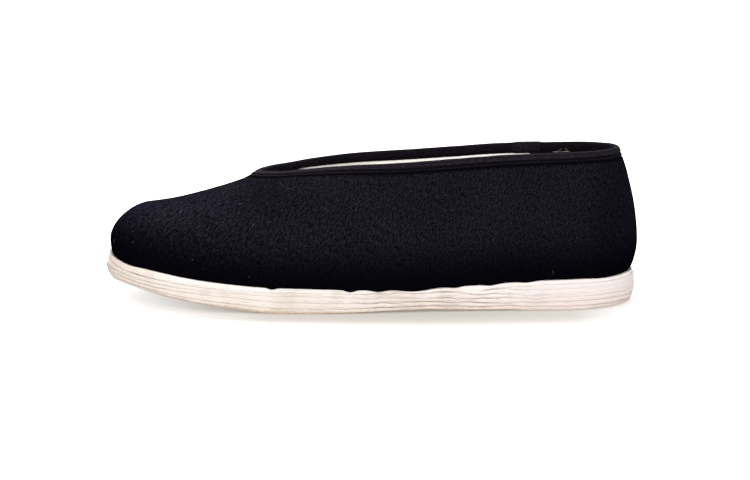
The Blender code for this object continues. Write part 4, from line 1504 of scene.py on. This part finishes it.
def lay_fibre(mesh, tree, fibre):
    """A fibre as a thin tube over the surface in the tree, which is in metres."""
    start_y, way = FACES[fibre.face]
    turn = math.radians(fibre.turn)
    line = []
    for step in range(-3, 4):
        along_it = fibre.length * step / 6
        off = fibre.bend * (step * step / 9 - 0.5)
        x = fibre.x + along_it * math.cos(turn) - off * math.sin(turn)
        z = fibre.z + along_it * math.sin(turn) + off * math.cos(turn)
        spot = tree.ray_cast(Vector((x, start_y, z)) * MM, Vector((0, way, 0)))[0]
        if spot:
            line.append(spot / MM - Vector((0, way, 0)) * fibre.thick * 0.6)
    rings = []
    for i, point in enumerate(line):
        ahead = (line[min(i + 1, len(line) - 1)] - line[max(i - 1, 0)]).normalized()
        across = ahead.cross(Vector((0, 1, 0))).normalized()
        up = across.cross(ahead)
        thin = fibre.thick / 2 * (0.4 if i in (0, len(line) - 1) else 1.0)
        angles = [k * math.tau / FIBRE_SIDES for k in range(FIBRE_SIDES)]
        spokes = [across * math.cos(angle) + up * math.sin(angle) for angle in angles]
        rings.append([mesh.verts.new(point + spoke * thin) for spoke in spokes])
    for low, high in zip(rings, rings[1:]):
        for k in range(FIBRE_SIDES):
            after = (k + 1) % FIBRE_SIDES
            mesh.faces.new((low[k], low[after], high[after], high[k]))
    for end in (rings[0], rings[-1]):
        mesh.faces.new(end)


def make_fibres(name, fibres, surface, material, slot):
    points = [v.co for v in surface.data.vertices]
    tree = BVHTree.FromPolygons(points, [p.vertices for p in surface.data.polygons])
    mesh = bmesh.new()
    for fibre in fibres:
        lay_fibre(mesh, tree, fibre)
    bmesh.ops.recalc_face_normals(mesh, faces=mesh.faces)
    dress(scene_object(name, mesh, [material]), slot)


# Light, floor and camera

def make_camera():
    data = bpy.data.cameras.new("camera")
    data.lens = CAMERA_LENS
    data.sensor_width = SENSOR_WIDTH
    data.clip_end = 60
    camera = bpy.data.objects.new("camera", data)
    bpy.context.scene.collection.objects.link(camera)
    tilt = math.radians(CAMERA_ELEVATION)
    back = Vector((0, -math.cos(tilt), math.sin(tilt)))
    camera.location = (CAMERA_AIM + back * CAMERA_DISTANCE) * MM
    camera.rotation_euler = (math.pi / 2 - tilt, 0, 0)
    bpy.context.scene.camera = camera


def make_floor():
    bpy.ops.mesh.primitive_plane_add(size=FLOOR_SIZE, location=(0, 0, -FLOOR_BELOW))
    floor = bpy.context.object
    floor.name = "floor"
    material = bpy.data.materials.new("white_paper")
    material.use_nodes = True
    tree = material.node_tree
    shader = tree.nodes["Principled BSDF"]
    shader.inputs["Roughness"].default_value = 0.95
    shader.inputs["Specular IOR Level"].default_value = 0.0
    shader.inputs["Base Color"].default_value = FLOOR_PAPER
    where = tree.nodes.new("ShaderNodeTexCoord").outputs["Object"]
    away = tree.nodes.new("ShaderNodeVectorMath")
    away.operation = "LENGTH"
    tree.links.new(stretch_node(tree, where, (1.2, 0.5, 1.0)), away.inputs[0])
    x, _, _ = split_node(tree, where)
    # The glow: weak under the shoe, a painted shadow, full away from it, with painted light added past the
    # toe and the heel.
    glow = range_node(tree, away.outputs["Value"], *PAINTED_SHADOW_REACH, *FLOOR_GLOW_AND_PAINTED_SHADOW)
    for reach in PAINTED_LIGHT_PAST_ENDS:
        glow = math_node(tree, "ADD", glow, range_node(tree, x, *reach, 0.0, PAINTED_LIGHT_PAST_ENDS_AMOUNT))
    # Painted shadow colour: warm where the glow is weak, near white where it is strong.
    paler = range_node(tree, glow, 0.4, 0.8, 0.0, 1.0)
    tint = blend_node(tree, paler, (1.0, 0.90, 0.81), (1.0, 0.99, 0.985))
    tree.links.new(tint, shader.inputs["Emission Color"])
    seen = tree.nodes.new("ShaderNodeLightPath").outputs["Is Camera Ray"]
    tree.links.new(math_node(tree, "MULTIPLY", seen, glow), shader.inputs["Emission Strength"])
    floor.data.materials.append(material)


def make_lights():
    for box in LIGHTS:
        data = bpy.data.lights.new(box.name, "AREA")
        data.shape = "RECTANGLE"
        data.size, data.size_y = box.size
        data.energy = box.power
        light = bpy.data.objects.new(box.name, data)
        light.location = box.place
        way = Vector(box.target) - Vector(box.place)
        light.rotation_euler = way.to_track_quat("-Z", "Y").to_euler()
        bpy.context.scene.collection.objects.link(light)
    world = bpy.data.worlds.new("studio")
    world.use_nodes = True
    background = world.node_tree.nodes["Background"]
    background.inputs["Color"].default_value = (1, 1, 1, 1)
    background.inputs["Strength"].default_value = WALLS_LIGHT
    bpy.context.scene.world = world
    bpy.context.scene.view_settings.view_transform = "Standard"


def main():
    make_camera()
    twill, cotton = twill_group(), cotton_group()
    tape = black_tape(cotton)
    thread = black_thread()
    steps = stations(*UPPER_STEPS)
    ribs = ring(upper_ribs(OUTER, steps), upper_ribs(INNER, steps))
    upper = make_upper(ribs, black_twill(twill), lining_cotton(cotton))
    folded = make_tape(ribs, tape)
    pale = loose_fibre("pale_fibre", (0.045, 0.044, 0.056), (0.13, 0.125, 0.13))
    brown = loose_fibre("husk_fibre", (0.05, 0.035, 0.025), (0.09, 0.065, 0.045))
    cream = loose_fibre("frayed_cotton", (0.10, 0.10, 0.06), (0.45, 0.36, 0.30))
    make_fibres("lint", LINT, upper, pale, "twill")
    make_fibres("husk", HUSK, upper, brown, "twill")
    make_fibres("frayed_ends", FRAYED, folded, cream, "tape")
    stitches = stitch_tree(thread)
    make_stitches("tape_stitches", [tape_stitch_line(ribs, 1), tape_stitch_line(ribs, -1)], stitches, "tape")
    make_facing(ribs, facing_cotton(cotton))
    make_insole(insole_cotton(cotton))
    make_sole(cotton)
    make_floor()
    make_lights()


main()
